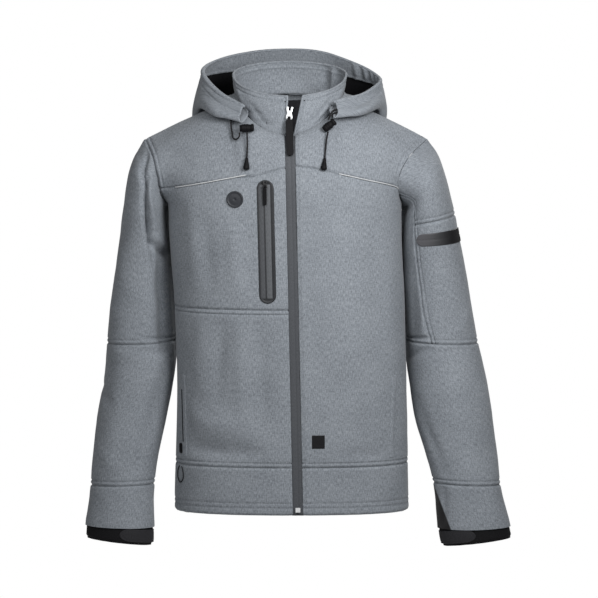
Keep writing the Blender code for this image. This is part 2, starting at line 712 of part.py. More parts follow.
def level(z):
    """Rows at fixed heights below the underarm."""
    heights = low_height(z)[:, None]
    return lambda across: np.broadcast_to(heights, (len(heights), len(across)))


def chest_rise(across):
    """Rows from the underarm up to the yoke seam."""
    return 1 + BELOW_YOKE[1:, None] * (yoke_height(across) - 1)[None, :]


def yoke_rise(across):
    """Rows from the yoke seam up to the neckline and shoulder seam."""
    seam = yoke_height(across)[None, :]
    return seam + ABOVE_YOKE[:, None] * (2 - seam)


def front_panel(name, side, *rows):
    """Front panel of one side, from the zip to the side seam and armhole."""
    across = side * np.concatenate(((ZIP_ACROSS,), ACROSS))
    heights = np.concatenate([piece(across) for piece in rows])
    across = np.broadcast_to(across, heights.shape).copy()
    across[:, 0] = zip_edge(side, heights[:, 0])
    out = torso_out(FRONT, across, heights)
    on_armhole = heights[:, -1] >= 1
    out[on_armhole, -1] = armhole_out(side, 2 - heights[on_armhole, -1])
    return wall(name, "cloth", torso(FRONT, across, heights), out)


def armhole_steps():
    """Places along the armhole that body and sleeve share, from underarm to shoulder."""
    seam = yoke_height(np.ones(1))[0] - 1
    return np.concatenate((seam * BELOW_YOKE, seam + (1 - seam) * ABOVE_YOKE[1:]))


def back_panel(name, heights):
    """Back panel from side to side."""
    across = np.concatenate((ACROSS[::-1], (0.0,), -ACROSS))
    across, heights = np.broadcast_arrays(across[None, :], heights[:, None])
    out = torso_out(BACK, across, heights)
    on_armhole = heights[:, 0] >= 1
    out[on_armhole, 0] = armhole_out(LEFT, heights[on_armhole, 0])
    out[on_armhole, -1] = armhole_out(RIGHT, heights[on_armhole, 0])
    return wall(name, "cloth", torso(BACK, across, heights), out)


def sleeve_turns():
    """Places round the sleeve, matching the armhole steps."""
    steps = armhole_steps()
    return np.concatenate(((1 - steps)[::-1], (1 + steps)[1:-1]))


def sleeve_wall(name, side, sections, turns, finish="cloth", closed=True):
    """One piece of a sleeve, from grids of sections and turns."""
    sections, turns = np.broadcast_arrays(sections, turns)
    grid = sleeve(side, sections, turns)
    out = sleeve_out(side, sections, turns)
    if sections[0, 0] == 0:
        out[0] = armhole_out(side, np.mod(turns[0], 2))
        grid[0] += unit(grid[1] - grid[0]) * ARMHOLE_GAP
    return wall(name, finish, grid, out, closed)


def sleeve_tube(name, side, first, last, rows, finish="cloth"):
    """Whole ring of sleeve between two sections."""
    return sleeve_wall(name, side, np.linspace(first, last, rows)[:, None], sleeve_turns()[None, :], finish)


def front_seam_turn(sections):
    """Place of the left sleeve's front seam, which drifts outwards to the elbow."""
    top = sleeve_turns()[FRONT_SEAM_STEP]
    return top + (FRONT_SEAM_ELBOW - top) * sections / ELBOW_SECTION


def left_upper_sleeve():
    """Left upper sleeve: cap and pocket panel outside, under panel towards the body."""
    turns = sleeve_turns()
    front = turns[FRONT_SEAM_STEP]
    back = turns[BACK_SEAM_STEP]
    outside = np.concatenate((turns[BACK_SEAM_STEP:] - 2, turns[:FRONT_SEAM_STEP + 1]))
    under = turns[FRONT_SEAM_STEP:BACK_SEAM_STEP + 1]
    cap_rows = np.linspace(0, CAP_SECTION, CAP_ROWS)
    pocket_rows = np.linspace(CAP_SECTION, ELBOW_SECTION, POCKET_ROWS)
    for name, rows in (("sleeve_cap_left", cap_rows), ("sleeve_pocket_panel_left", pocket_rows)):
        sections = rows[:, None]
        shift = front_seam_turn(sections) / front
        sleeve_wall(name, LEFT, sections, np.where(outside > 0, outside * shift, outside), closed=False)
    sections = np.concatenate((cap_rows, pocket_rows[1:]))[:, None]
    seam = front_seam_turn(sections)
    share = (under - front) / (back - front)
    sleeve_wall("sleeve_under_panel_left", LEFT, sections, seam + share * (back - seam), closed=False)


def build_body():
    """Fronts, back and hem bands."""
    for side, word in ((RIGHT, "right"), (LEFT, "left")):
        front_panel(f"hem_band_{word}", side, level(HEM_ROWS))
        front_panel(f"front_yoke_{word}", side, yoke_rise)
    front_panel("front_lower_right", RIGHT, level(LOWER_ROWS))
    front_panel("front_chest_right", RIGHT, level(CHEST_ROWS), chest_rise)
    front_panel("front_panel_left", LEFT, level(LOWER_ROWS), level(CHEST_ROWS[1:]), chest_rise)
    back_panel("hem_band_back", low_height(HEM_ROWS))
    body_rows = np.concatenate((low_height(LOWER_ROWS), low_height(CHEST_ROWS[1:]), 1 + armhole_steps()[1:]))
    back_panel("back_panel", body_rows)


def build_sleeves():
    """Both sleeves with their cuff bands."""
    sleeve_tube("sleeve_upper_right", RIGHT, 0, ELBOW_SECTION, UPPER_ROWS)
    left_upper_sleeve()
    for side, word in ((RIGHT, "right"), (LEFT, "left")):
        sleeve_tube(f"sleeve_forearm_{word}", side, ELBOW_SECTION, LOWER_SECTION, FOREARM_ROWS)
        sleeve_tube(f"sleeve_lower_{word}", side, LOWER_SECTION, CUFF_SECTION, CUFF_ROWS)
        sleeve_tube(f"cuff_band_{word}", side, CUFF_SECTION, END_SECTION, CUFF_ROWS, "cuff")


def build_collar():
    """Stand collar, open at the front, on the same points as the neckline."""
    front = ACROSS[:NECK_STEPS] / NECK_ACROSS
    half = np.concatenate((front, (2 - front[:-1])[::-1]))
    top = np.array((2.0,))
    edge_left = zip_edge(LEFT, top) / NECK_ACROSS
    edge_right = zip_edge(RIGHT, top) / NECK_ACROSS
    turns = np.concatenate((edge_left, half, (2.0,), -half[::-1], edge_right))
    rises = np.linspace(0, 1, COLLAR_ROWS)[:, None]
    turns = np.tile(turns, (COLLAR_ROWS, 1))
    turns[:, :1] += COLLAR_LEFT_OPEN * rises
    grid = collar(turns, rises)
    wall("collar", "cloth", grid, grid_out(grid, False))


def build_hood():
    """Hood outer, the gathered facing inside its rim and the lining inside the rest."""
    places = hood_places()
    grid = hood(places, hood_rows())
    out = -grid_out(grid, False)
    wall("hood_outer", "cloth", grid, out)
    inside = grid - (CLOTH + HOOD_LAYER_GAP) * out
    lining = np.s_[1:LINING_STEPS + 1, 2:-2]
    wall("hood_lining", "lining", inside[lining], out[lining], thickness=THIN_CLOTH)
    facing = np.s_[LINING_STEPS:, 1:-1]
    ridges = np.array(GATHER_SHARES)[:, None] * gathers(places[1:-1])[None, :]
    thickness = THIN_CLOTH + GATHER_DEPTH * ridges
    wall("hood_facing", "cloth", inside[facing], out[facing], thickness=thickness[..., None])


def end_steps(length, radius, middle):
    """Distances along a strip with round ends, close together where it rounds."""
    bend = radius * (1 - np.cos(np.radians((12, 45, 90))))
    inner = np.linspace(radius, length - radius, middle)[1:-1]
    return np.concatenate((bend, inner, (length - bend)[::-1]))


def strip_places(start, end, half_width, middle=2, rounded=True, across=3):
    """Grid of x and z over a strip on the front between two places."""
    start = np.array(start)
    end = np.array(end)
    length = np.linalg.norm(end - start)
    along = (end - start) / length
    if rounded:
        steps = end_steps(length, half_width, middle)
        inset = np.clip(half_width - np.minimum(steps, length - steps), 0, None)
        halves = np.sqrt(half_width ** 2 - inset ** 2)
    else:
        steps = np.linspace(0, length, middle)
        halves = np.full(middle, half_width)
    sideways = np.linspace(-1, 1, across)[None, :] * halves[:, None]
    x = start[0] + steps[:, None] * along[0] - sideways * along[1]
    z = start[1] + steps[:, None] * along[1] + sideways * along[0]
    return x, z


def lay_strip(name, finish, start, end, half_width, thickness=TRIM, **shape):
    """Strip that lies on the front."""
    x, z = strip_places(start, end, half_width, **shape)
    point, out = front_frame(x, z)
    return moved_out(name, finish, point, out, thickness)


def build_front_trim():
    """Chest pocket, button, label, hand pocket welts and piping."""
    lay_strip("chest_pocket_zip", "welded zip", POCKET_TOP, POCKET_BOTTOM, POCKET_HALF_WIDTH,
              POCKET_THICKNESS, middle=7)
    button = np.array(BUTTON_PLACE)
    up = np.array((0, BUTTON_RADIUS))
    lay_strip("control_button", "rubber", button + up, button - up, BUTTON_RADIUS - LIFT,
              BUTTON_THICKNESS, middle=2, across=5)
    lay_strip("label_patch", "rubber", LABEL_TOP, LABEL_BOTTOM, LABEL_HALF_WIDTH, rounded=False)
    for word, (start, end) in WELTS.items():
        lay_strip(f"hand_pocket_welt_{word}", "rubber", start, end, WELT_HALF_WIDTH, middle=5, rounded=False)
    for side, word in ((RIGHT, "right"), (LEFT, "left")):
        start, end = PIPING_ACROSS[side]
        inside = ACROSS[(ACROSS > start) & (ACROSS < end)]
        across = side * np.array((start, *inside, end))
        heights = yoke_height(across)[None, :] + PIPING_HALF_HEIGHT * np.array((-1, 1))[:, None]
        across = np.broadcast_to(across, heights.shape)
        moved_out(f"piping_{word}", "piping", torso(FRONT, across, heights),
                  torso_out(FRONT, across, heights), TRIM, lift=2 * LIFT)


def build_sleeve_trim():
    """Cuff tabs and the sleeve pocket's welded zip."""
    for side, word in ((RIGHT, "right"), (LEFT, "left")):
        turns = np.linspace(*CUFF_TABS[side], CUFF_TAB_STEPS)[None, :]
        edges = (CUFF_SECTION + CUFF_TAB_EDGE, END_SECTION - CUFF_TAB_EDGE)
        sections = np.linspace(*edges, CUFF_ROWS)[:, None]
        sections, turns = np.broadcast_arrays(sections, turns)
        moved_out(f"cuff_tab_{word}", "cuff", sleeve(side, sections, turns),
                  sleeve_out(side, sections, turns), CLOTH)
    turns = np.linspace(*SLEEVE_ZIP_TURNS, SLEEVE_ZIP_STEPS)
    reach = np.abs(np.linspace(-1, 1, SLEEVE_ZIP_STEPS))
    rounding = np.clip((reach - SLEEVE_ZIP_STRAIGHT) / (SLEEVE_ZIP_REACH - SLEEVE_ZIP_STRAIGHT), 0, 1)
    halves = SLEEVE_ZIP_HALF * np.sqrt(1 - rounding ** 2)
    sections = SLEEVE_ZIP_SECTION + halves[None, :] * np.linspace(-1, 1, SLEEVE_ZIP_ROWS)[:, None]
    turns = np.broadcast_to(turns, sections.shape)
    moved_out("sleeve_pocket_zip_left", "welded zip", sleeve(LEFT, sections, turns),
              sleeve_out(LEFT, sections, turns), POCKET_THICKNESS, lift=2 * LIFT)


def build_main_zip():
    """Closed tape between the front edges, and the flap behind the open top."""
    low_rows = np.concatenate((HEM_ROWS, LOWER_ROWS[1:], CHEST_ROWS[1:]))
    body_rows = np.concatenate((low_height(low_rows), np.linspace(1, 2, TAPE_CHEST_ROWS)[1:]))
    half = ZIP_WIDTH / 2 - 2 * SEAM
    across = np.stack([zip_edge(side, body_rows, half) for side in (RIGHT, LEFT)], axis=1)
    across = np.stack((across[:, 0], across.mean(axis=1), across[:, 1]), axis=1)
    heights = np.broadcast_to(body_rows[:, None], across.shape)
    body = torso(FRONT, across, heights)
    neck_turns = across[-1] / NECK_ACROSS
    base = collar(neck_turns, 0.0)
    top = collar(neck_turns, 1.0)
    closed = (ZIP_CLOSED_Z - base[1, 2]) / (top[1, 2] - base[1, 2])
    rises = np.linspace(0, closed, TAPE_NECK_ROWS)[1:]
    neck = collar(neck_turns[None, :], rises[:, None])
    grid = np.concatenate((body, neck))
    grid[:, :, 1] += TAPE_RECESS
    skin("zip_tape", "zip tape", grid, grid - THIN_CLOTH * grid_out(grid, False))
    beyond = ACROSS[0] / NECK_ACROSS
    edges = [zip_edge(side, np.array((2.0,)))[0] / NECK_ACROSS for side in (RIGHT, LEFT)]
    turns = np.array((-beyond, edges[0], 0.0, edges[1], beyond))
    grid = collar(turns[None, :], np.linspace(*FLAP_RISES, FLAP_ROWS)[:, None])
    out = grid_out(grid, False)
    inside = CLOTH + LIFT
    skin("zip_flap", "lining", grid - inside * out, grid - (inside + THIN_CLOTH) * out)


def box(width, depth, height, centre):
    """Block worked in its own frame."""
    work = bmesh.new()
    bmesh.ops.create_cube(work, size=1.0)
    bmesh.ops.scale(work, vec=(width, depth, height), verts=work.verts)
    bmesh.ops.translate(work, vec=centre, verts=work.verts)
    return work


def rod(radius, length, centre, sides=12):
    """Round bar along its own X."""
    work = bmesh.new()
    bmesh.ops.create_cone(work, cap_ends=True, segments=sides, radius1=radius, radius2=radius, depth=length)
    bmesh.ops.rotate(work, matrix=Matrix.Rotation(QUARTER, 3, "Y"), verts=work.verts)
    bmesh.ops.translate(work, vec=centre, verts=work.verts)
    return work


def helper(name, work, parent, operation):
    """Shape that is joined to, or cut from, its parent."""
    data = bpy.data.meshes.new(name)
    work.to_mesh(data)
    work.free()
    thing = bpy.data.objects.new(name, data)
    bpy.context.scene.collection.objects.link(thing)
    thing.hide_render = True
    thing.display_type = "WIRE"
    thing.parent = parent
    change = parent.modifiers.new(name, "BOOLEAN")
    change.operation = operation
    change.object = thing


def frame_matrix(origin, up, out):
    """Frame with its Z along the cloth and its -Y out of it."""
    up = Vector(up).normalized()
    out = (Vector(out) - Vector(out).dot(up) * up).normalized()
    right = up.cross(out)
    matrix = Matrix((right, -out, up)).transposed().to_4x4()
    matrix.translation = Vector(origin)
    return matrix


def slider_and_tab(prefix, sizes, seat, up, out, tab_end):
    """Zip slider with its pin, and the tab that swings on the pin."""
    frame = frame_matrix(seat, up, out)
    width = sizes["slider_width"]
    thickness = sizes["slider_thickness"]
    pin_y = -thickness - PIN_RISE
    pin_z = -sizes["pin_drop"]
    body = box(width, thickness, sizes["slider_length"], (0, -thickness / 2, 0))
    slider = finish_mesh(f"{prefix}_slider", body, "metal")
    slider.matrix_world = frame
    lug_x = sizes["eye_width"] / 2 + SEAM + LUG_WIDTH / 2
    lug_height = PIN_RISE + 2 * PIN_RADIUS
    for word, side in (("first", -1), ("second", 1)):
        lug_place = (side * lug_x, -thickness - lug_height / 2 + SEAM, pin_z)
        lug = box(LUG_WIDTH, lug_height, 4 * PIN_RADIUS, lug_place)
        helper(f"{prefix}_lug_{word}", lug, slider, "UNION")
    pin_length = 2 * lug_x + LUG_WIDTH / 2
    helper(f"{prefix}_pin", rod(PIN_RADIUS, pin_length, (0, pin_y, pin_z)), slider, "UNION")
    pin = frame @ Vector((0, pin_y, pin_z))
    down = Vector(tab_end) - pin
    length = sizes["tab_length"]
    tab = finish_mesh(f"{prefix}_pull_tab", rod(EYE_RADIUS, sizes["eye_width"], (0, 0, 0)), "rubber")
    tab.matrix_world = frame_matrix(pin, -down, out)
    plate_place = (0, 0, -(length + TAB_SHOULDER) / 2)
    plate = box(sizes["tab_width"], sizes["tab_thickness"], length - TAB_SHOULDER, plate_place)
    neck_place = (0, 0, -TAB_SHOULDER - SEAM + EYE_RADIUS / 2)
    neck = box(sizes["eye_width"], sizes["tab_thickness"], EYE_RADIUS, neck_place)
    helper(f"{prefix}_tab_plate", plate, tab, "UNION")
    helper(f"{prefix}_tab_neck", neck, tab, "UNION")
    helper(f"{prefix}_tab_bore", rod(EYE_BORE, 2 * width, (0, 0, 0)), tab, "DIFFERENCE")


def build_sliders():
    """Main and chest pocket sliders with their tabs, and the end stop at the hem."""
    base = collar(0.0, 0.0)
    top = collar(0.0, 1.0)
    rise = (MAIN_SLIDER_Z - base[2]) / (top[2] - base[2])
    seat = collar(0.0, rise)
    up = collar(0.0, rise + SLIDER_NUDGE) - collar(0.0, rise - SLIDER_NUDGE)
    out = unit(np.cross((1, 0, 0), up))
    seat[0] = zip_x(seat[2])
    point, normal = front_frame(zip_x(MAIN_TAB_END_Z), MAIN_TAB_END_Z)
    end = point + (TAB_CLEARANCE + MAIN_ZIP["tab_thickness"] / 2) * normal
    slider_and_tab("zip", MAIN_ZIP, seat + LIFT * out, up, out, end)
    x, z = CHEST_SLIDER_PLACE
    seat, out = front_frame(x, z)
    up = front_frame(x, z + SLIDER_NUDGE)[0] - front_frame(x, z - SLIDER_NUDGE)[0]
    on_zip = 2 * LIFT + POCKET_THICKNESS
    point, normal = front_frame(x, CHEST_TAB_END_Z)
    end = point + (on_zip + TAB_CLEARANCE + CHEST_ZIP["tab_thickness"] / 2) * normal
    slider_and_tab("chest_pocket", CHEST_ZIP, seat + on_zip * out, up, out, end)
    middle = zip_x(np.array(STOP_ENDS).mean())
    lay_strip("zip_end_stop", "metal", (middle, STOP_ENDS[0]), (middle, STOP_ENDS[1]), STOP_HALF_WIDTH,
              rounded=False)


def front_route(table):
    """Points of a cord's route in front of the jacket."""
    point, out = front_frame(table["x"], table["z"])
    return point + table["out"][:, None] * out


def cord(name, route, diameter):
    """Round cord along a smooth curve through its route."""
    steps = np.linalg.norm(np.diff(route, axis=0), axis=1)
    knots = np.concatenate(((0.0,), np.cumsum(steps)))
    count = int(knots[-1] / (2.5 * diameter)) + 2
    points = smooth(np.linspace(0, knots[-1], count), knots, route)
    data = bpy.data.curves.new(name, "CURVE")
    data.dimensions = "3D"
    data.bevel_depth = diameter / 2
    data.bevel_resolution = 2
    data.use_fill_caps = True
    spline = data.splines.new("POLY")
    spline.points.add(count - 1)
    for target, point in zip(spline.points, points):
        target.co = (*point, 1.0)
    return place_object(name, data, "cord")


def barrel(name, finish, centre, axis, radius, length):
    """Short round piece with rounded ends, its axis where it is told."""
    work = rod(radius, length, (0, 0, 0))
    rims = [edge for edge in work.edges if abs(edge.verts[0].co.x - edge.verts[1].co.x) < radius / 100]
    bmesh.ops.bevel(work, geom=rims, offset=radius / 4, segments=1, affect="EDGES")
    thing = finish_mesh(name, work, finish)
    turn = Vector((1, 0, 0)).rotation_difference(Vector(axis).normalized())
    thing.matrix_world = Matrix.Translation(Vector(centre)) @ turn.to_matrix().to_4x4()
    return thing


def lock_exit(centre, axis, towards):
    """Point just outside a cord lock, on the way to the next point of the cord."""
    way = unit(towards - centre)
    along = abs(np.dot(way, unit(np.array(axis))))
    reach = LOCK_RADIUS + SEAM + CORD / 2 * along
    return centre + way * reach / math.sqrt(1 - along ** 2)


def build_drawstrings():
    """Hood cords with their locks and ends, and the hem cord with its toggle."""
    cord("hood_cord_upper_right", front_route(UPPER_RIGHT_ROUTE), CORD)
    for name, table in LEFT_STRANDS.items():
        cord(name, np.stack([table[axis] for axis in "xyz"], axis=1), CORD)
    for word, lock in LOCKS.items():
        point, out = front_frame(lock["x"], lock["z"])
        centre = point + lock["out"] * out
        barrel(f"hood_lock_{word}", "rubber", centre, lock["axis"], LOCK_RADIUS, LOCK_LENGTH)
        route = front_route(LOWER_ROUTES[word])
        route = np.concatenate((lock_exit(centre, lock["axis"], route[0])[None, :], route))
        cord(f"hood_cord_lower_{word}", route, CORD)
        down = unit(route[-1] - route[-2])
        centre = route[-1] + (CORD_END_LENGTH / 2 + SEAM) * down
        barrel(f"hood_cord_end_{word}", "rubber", centre, down, CORD_END_RADIUS, CORD_END_LENGTH)
    cord("hem_cord_right", front_route(HEM_LOOP), HEM_CORD)
    point, out = front_frame(TOGGLE["x"], TOGGLE["z"])
    centre = point - (CLOTH + TOGGLE["gap"] + TOGGLE["radius"]) * out
    barrel("hem_toggle_right", "rubber", centre, np.cross(out, (0, 0, 1)), TOGGLE["radius"], TOGGLE["length"])


def main():
    """Build every piece of the jacket."""
    for thing in list(bpy.data.objects):
        bpy.data.objects.remove(thing, do_unlink=True)
    build_body()
    build_sleeves()
    build_collar()
    build_hood()
    build_main_zip()
    build_front_trim()
    build_sleeve_trim()
    build_sliders()
    build_drawstrings()


main()
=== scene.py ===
"""Looks of the hooded work jacket: fine cloth with its folds and sewing, zips, cords, light and camera.

Metres, +Z up. The front faces -Y and the wearer's left is +X.
"""

import math

import bmesh
import bpy
import numpy as np
from mathutils import Matrix, Vector, noise


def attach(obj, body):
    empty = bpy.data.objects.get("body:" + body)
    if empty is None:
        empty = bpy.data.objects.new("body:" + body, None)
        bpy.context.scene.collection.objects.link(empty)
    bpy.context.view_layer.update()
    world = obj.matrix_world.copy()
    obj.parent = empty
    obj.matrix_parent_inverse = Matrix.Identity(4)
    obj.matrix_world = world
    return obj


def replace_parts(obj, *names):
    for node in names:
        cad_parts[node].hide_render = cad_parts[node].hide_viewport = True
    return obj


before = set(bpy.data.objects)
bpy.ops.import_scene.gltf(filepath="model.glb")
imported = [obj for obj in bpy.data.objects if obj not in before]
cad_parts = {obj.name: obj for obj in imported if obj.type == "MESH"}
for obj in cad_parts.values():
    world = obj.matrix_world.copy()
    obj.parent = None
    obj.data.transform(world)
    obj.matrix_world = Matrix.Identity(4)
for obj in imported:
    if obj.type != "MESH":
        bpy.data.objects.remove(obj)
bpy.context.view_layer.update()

QUARTER = math.pi / 2
FRONT = -1
BACK = 1
RIGHT = -1
LEFT = 1


def columns(names, rows):
    """Turn a short table into named columns."""
    values = np.array(rows, dtype=float)
    return {name: values[:, k] for k, name in enumerate(names.split())}


# Cloth and gaps
CLOTH = 0.0016
THIN_CLOTH = 0.0011
SEAM = 0.0003
LIFT = 0.0004
ARMHOLE_GAP = 0.0005
SIDE_CLEARANCE = 0.0008
SIDE_CLEARANCE_RAMP = 0.02

# Body
HEM_Z = -0.686
HEM_SEAM_Z = -0.603
CHEST_SEAM_Z = -0.327
ARMPIT_Z = -0.150
ROUNDNESS = 0.85
TORSO = columns("z half_width front back", (
    (-0.686, 0.2050, 0.128, 0.118),
    (-0.603, 0.2035, 0.128, 0.117),
    (-0.450, 0.2005, 0.127, 0.115),
    (-0.330, 0.2015, 0.130, 0.117),
    (-0.190, 0.2035, 0.129, 0.120),
    (-0.150, 0.2045, 0.127, 0.120),
))
LEAN = columns("z shift", (
    (-0.686, 0.0000),
    (-0.450, 0.0000),
    (-0.330, -0.0035),
    (-0.190, -0.0110),
    (-0.040, -0.0095),
    (0.030, -0.0040),
    (0.120, -0.0030),
))

# Neckline, shoulder seam and armhole
NECK_ACROSS = 0.25
NECK_X = 0.090
NECK_Z = 0.030
NECK_FRONT_Y = -0.090
NECK_FRONT_Z = -0.022
NECK_BACK_Y = 0.078
NECK_BACK_Z = 0.040
NECK_ROUNDING = 1.75
SHOULDER_X = 0.2475
SHOULDER_Y = 0.005
SHOULDER_Z = -0.036
SHOULDER_ROUNDING = 1.25
ARMHOLE = columns("w front_x front_y front_z back_x back_y back_z", (
    (0.00, 0.2045, 0.000, -0.150, 0.2045, 0.000, -0.150),
    (0.25, 0.1990, -0.040, -0.130, 0.2030, 0.045, -0.128),
    (0.50, 0.1985, -0.058, -0.100, 0.2060, 0.066, -0.098),
    (0.75, 0.2150, -0.045, -0.066, 0.2230, 0.052, -0.064),
    (1.00, 0.2475, 0.005, -0.036, 0.2475, 0.005, -0.036),
))
ARMHOLE_RIGHT_OUT = 0.024
ARMHOLE_RIGHT_BACK = 0.006
YOKE = columns("across z", (
    (0.00, -0.074),
    (0.25, -0.089),
    (0.50, -0.103),
    (0.75, -0.113),
    (1.00, -0.121),
))
YOKE_RIGHT_SAG = 0.0080
YOKE_SAG_FULL = 0.16

# Main zip: its centre line leans a little towards the wearer's left at the hem
ZIP_TOP_X = -0.003
ZIP_TOP_Z = -0.020
ZIP_SLANT = -0.0216
ZIP_WIDTH = 0.0175
ZIP_CLOSED_Z = 0.006
ZIP_ACROSS = 0.03

YOKE_STEPS = 3
SHOULDER_STEPS = 6

# Sleeves: a row for each section across the arm, distances from the middle of the body
SLEEVE_NAMES = "outer_x outer_z inner_x inner_z centre_y half_depth back_in"
SLEEVES = {
    RIGHT: columns(SLEEVE_NAMES, (
        (0.2780, -0.080, 0.2215, -0.155, 0.008, 0.078, 0.006),
        (0.2900, -0.147, 0.2210, -0.174, 0.015, 0.080, 0.024),
        (0.2970, -0.210, 0.2165, -0.217, 0.024, 0.078, 0.025),
        (0.3090, -0.285, 0.2110, -0.290, 0.030, 0.073, 0.019),
        (0.3180, -0.354, 0.2070, -0.356, 0.033, 0.069, 0.015),
        (0.3225, -0.397, 0.2060, -0.394, 0.033, 0.068, 0.013),
        (0.3285, -0.455, 0.2060, -0.452, 0.029, 0.066, 0.005),
        (0.3405, -0.522, 0.2180, -0.522, 0.022, 0.062, 0.000),
        (0.3490, -0.600, 0.2340, -0.598, 0.010, 0.056, 0.000),
        (0.3525, -0.644, 0.2400, -0.642, 0.004, 0.053, 0.000),
        (0.3580, -0.703, 0.2425, -0.715, -0.003, 0.049, 0.000),
        (0.3603, -0.736, 0.2434, -0.749, -0.006, 0.047, 0.000),
    )),
    LEFT: columns(SLEEVE_NAMES, (
        (0.2600, -0.076, 0.2030, -0.155, 0.008, 0.078, 0.006),
        (0.2800, -0.145, 0.1980, -0.174, 0.015, 0.080, 0.013),
        (0.2935, -0.210, 0.1945, -0.217, 0.024, 0.078, 0.014),
        (0.3066, -0.280, 0.1960, -0.286, 0.030, 0.073, 0.015),
        (0.3194, -0.354, 0.2010, -0.356, 0.033, 0.069, 0.015),
        (0.3270, -0.397, 0.2045, -0.394, 0.033, 0.068, 0.015),
        (0.3410, -0.460, 0.2060, -0.456, 0.029, 0.067, 0.007),
        (0.3525, -0.532, 0.2160, -0.528, 0.022, 0.063, 0.000),
        (0.3610, -0.596, 0.2350, -0.592, 0.012, 0.058, 0.000),
        (0.3660, -0.644, 0.2475, -0.640, 0.004, 0.054, 0.000),
        (0.3785, -0.703, 0.2580, -0.717, -0.003, 0.050, 0.000),
        (0.3864, -0.736, 0.2646, -0.751, -0.006, 0.047, 0.000),
    )),
}
SLEEVE_BACK_FULL = 0.5
CAP_SECTION = 2.4
ELBOW_SECTION = 6
LOWER_SECTION = 10
CUFF_SECTION = 11
END_SECTION = 12
FRONT_SEAM_STEP = 7
FRONT_SEAM_ELBOW = 0.62
BACK_SEAM_STEP = 12

# Collar: top edge as a tilted oval, standing on the neckline
COLLAR_TOP_X = 0.100
COLLAR_TOP_Y = 0.0765
COLLAR_SIDE_Z = 0.0755
COLLAR_FRONT_DROP = 0.0325
COLLAR_BACK_RISE = 0.0175
COLLAR_BULGE = 0.003
COLLAR_LEFT_OPEN = 0.054

# Hood laid back: a row for each section, from the middle of the back round to the throat
HOOD_POINTS = ("under", "fold", "outer", "rim")
HOOD_COLUMNS = " ".join(("place", *(f"{point}_{axis}" for point in HOOD_POINTS for axis in "xyz")))
HOOD = columns(HOOD_COLUMNS, (
    (0.00, 0.000, 0.132, -0.035, 0.000, 0.158, -0.128, 0.000, 0.186, -0.040, 0.000, 0.122, 0.112),
    (0.22, 0.070, 0.120, -0.030, 0.082, 0.150, -0.105, 0.086, 0.174, -0.030, 0.072, 0.113, 0.109),
    (0.46, 0.128, 0.074, 0.002, 0.154, 0.094, -0.044, 0.166, 0.098, 0.000, 0.142, 0.070, 0.094),
    (0.66, 0.136, 0.006, 0.030, 0.157, 0.014, 0.015, 0.163, 0.012, 0.034, 0.156, 0.006, 0.076),
    (0.84, 0.114, -0.050, 0.014, 0.128, -0.060, 0.008, 0.134, -0.060, 0.024, 0.122, -0.046, 0.046),
    (1.00, 0.073, -0.088, 0.004, 0.080, -0.095, -0.002, 0.086, -0.092, 0.009, 0.080, -0.080, 0.027),
))
HOOD_SEAM_RISE = 0.22
HOOD_SEAM_GAP = 0.0008
HOOD_SEAM_HELD = 0.66
HOOD_SEAM_TIP = (0.069, -0.076, 0.014)
HOOD_LEFT_DROP = 0.020
HOOD_LEFT_TIP_RISE = 0.008
HOOD_LEFT_TIP_START = 0.7
HOOD_RIM_SHIFT = 0.012
FACING_START = 0.945
HOOD_LAYER_GAP = 0.0009
GATHERS = 7
GATHER_PLACES = (0.30, 0.72)
GATHER_DEPTH = 0.0030
GATHER_SHARES = (0.3, 1.0, 1.0, 0.6)

# What lies on the panels: places are x and z as seen from the front
POCKET_TOP = (-0.046, -0.0997)
POCKET_BOTTOM = (-0.041, -0.3149)
POCKET_HALF_WIDTH = 0.0148
POCKET_THICKNESS = 0.0014
BUTTON_PLACE = (-0.0984, -0.1338)
BUTTON_RADIUS = 0.0150
LABEL_TOP = (0.0467, -0.5455)
LABEL_BOTTOM = (0.0467, -0.5685)
LABEL_HALF_WIDTH = 0.0111
WELTS = {
    "right": ((-0.1905, -0.445), (-0.1865, -0.590)),
    "left": ((0.1800, -0.445), (0.1745, -0.590)),
}
WELT_HALF_WIDTH = 0.0045
PIPING_ACROSS = {RIGHT: (0.172, 0.734), LEFT: (0.267, 0.975)}
CUFF_TAB_TURNS = (0.50, 1.22)
CUFF_TAB_EDGE = 0.14
SLEEVE_ZIP_TURNS = (-0.06, 0.67)
SLEEVE_ZIP_SECTION = 2.93
SLEEVE_ZIP_HALF = 0.185
SLEEVE_ZIP_STRAIGHT = 0.8
SLEEVE_ZIP_REACH = 1.005

# Sliders and pull tabs: the pin of each slider is the axis its tab swings on
MAIN_ZIP = {"slider_width": 0.0120, "slider_length": 0.0230, "slider_thickness": 0.0036, "pin_drop": 0.0085,
            "eye_width": 0.0050, "tab_width": 0.0125, "tab_length": 0.068, "tab_thickness": 0.0020}
MAIN_SLIDER_Z = 0.0135
MAIN_TAB_END_Z = -0.066
CHEST_ZIP = {"slider_width": 0.0090, "slider_length": 0.0120, "slider_thickness": 0.0022, "pin_drop": 0.0035,
             "eye_width": 0.0034, "tab_width": 0.0062, "tab_length": 0.032, "tab_thickness": 0.0016}
CHEST_SLIDER_PLACE = (-0.0460, -0.1080)
CHEST_TAB_END_Z = -0.146
TAB_CLEARANCE = 0.0012
PIN_RADIUS = 0.0009
EYE_BORE = 0.0013
EYE_RADIUS = 0.0023
PIN_RISE = 0.0027
LUG_WIDTH = 0.0012

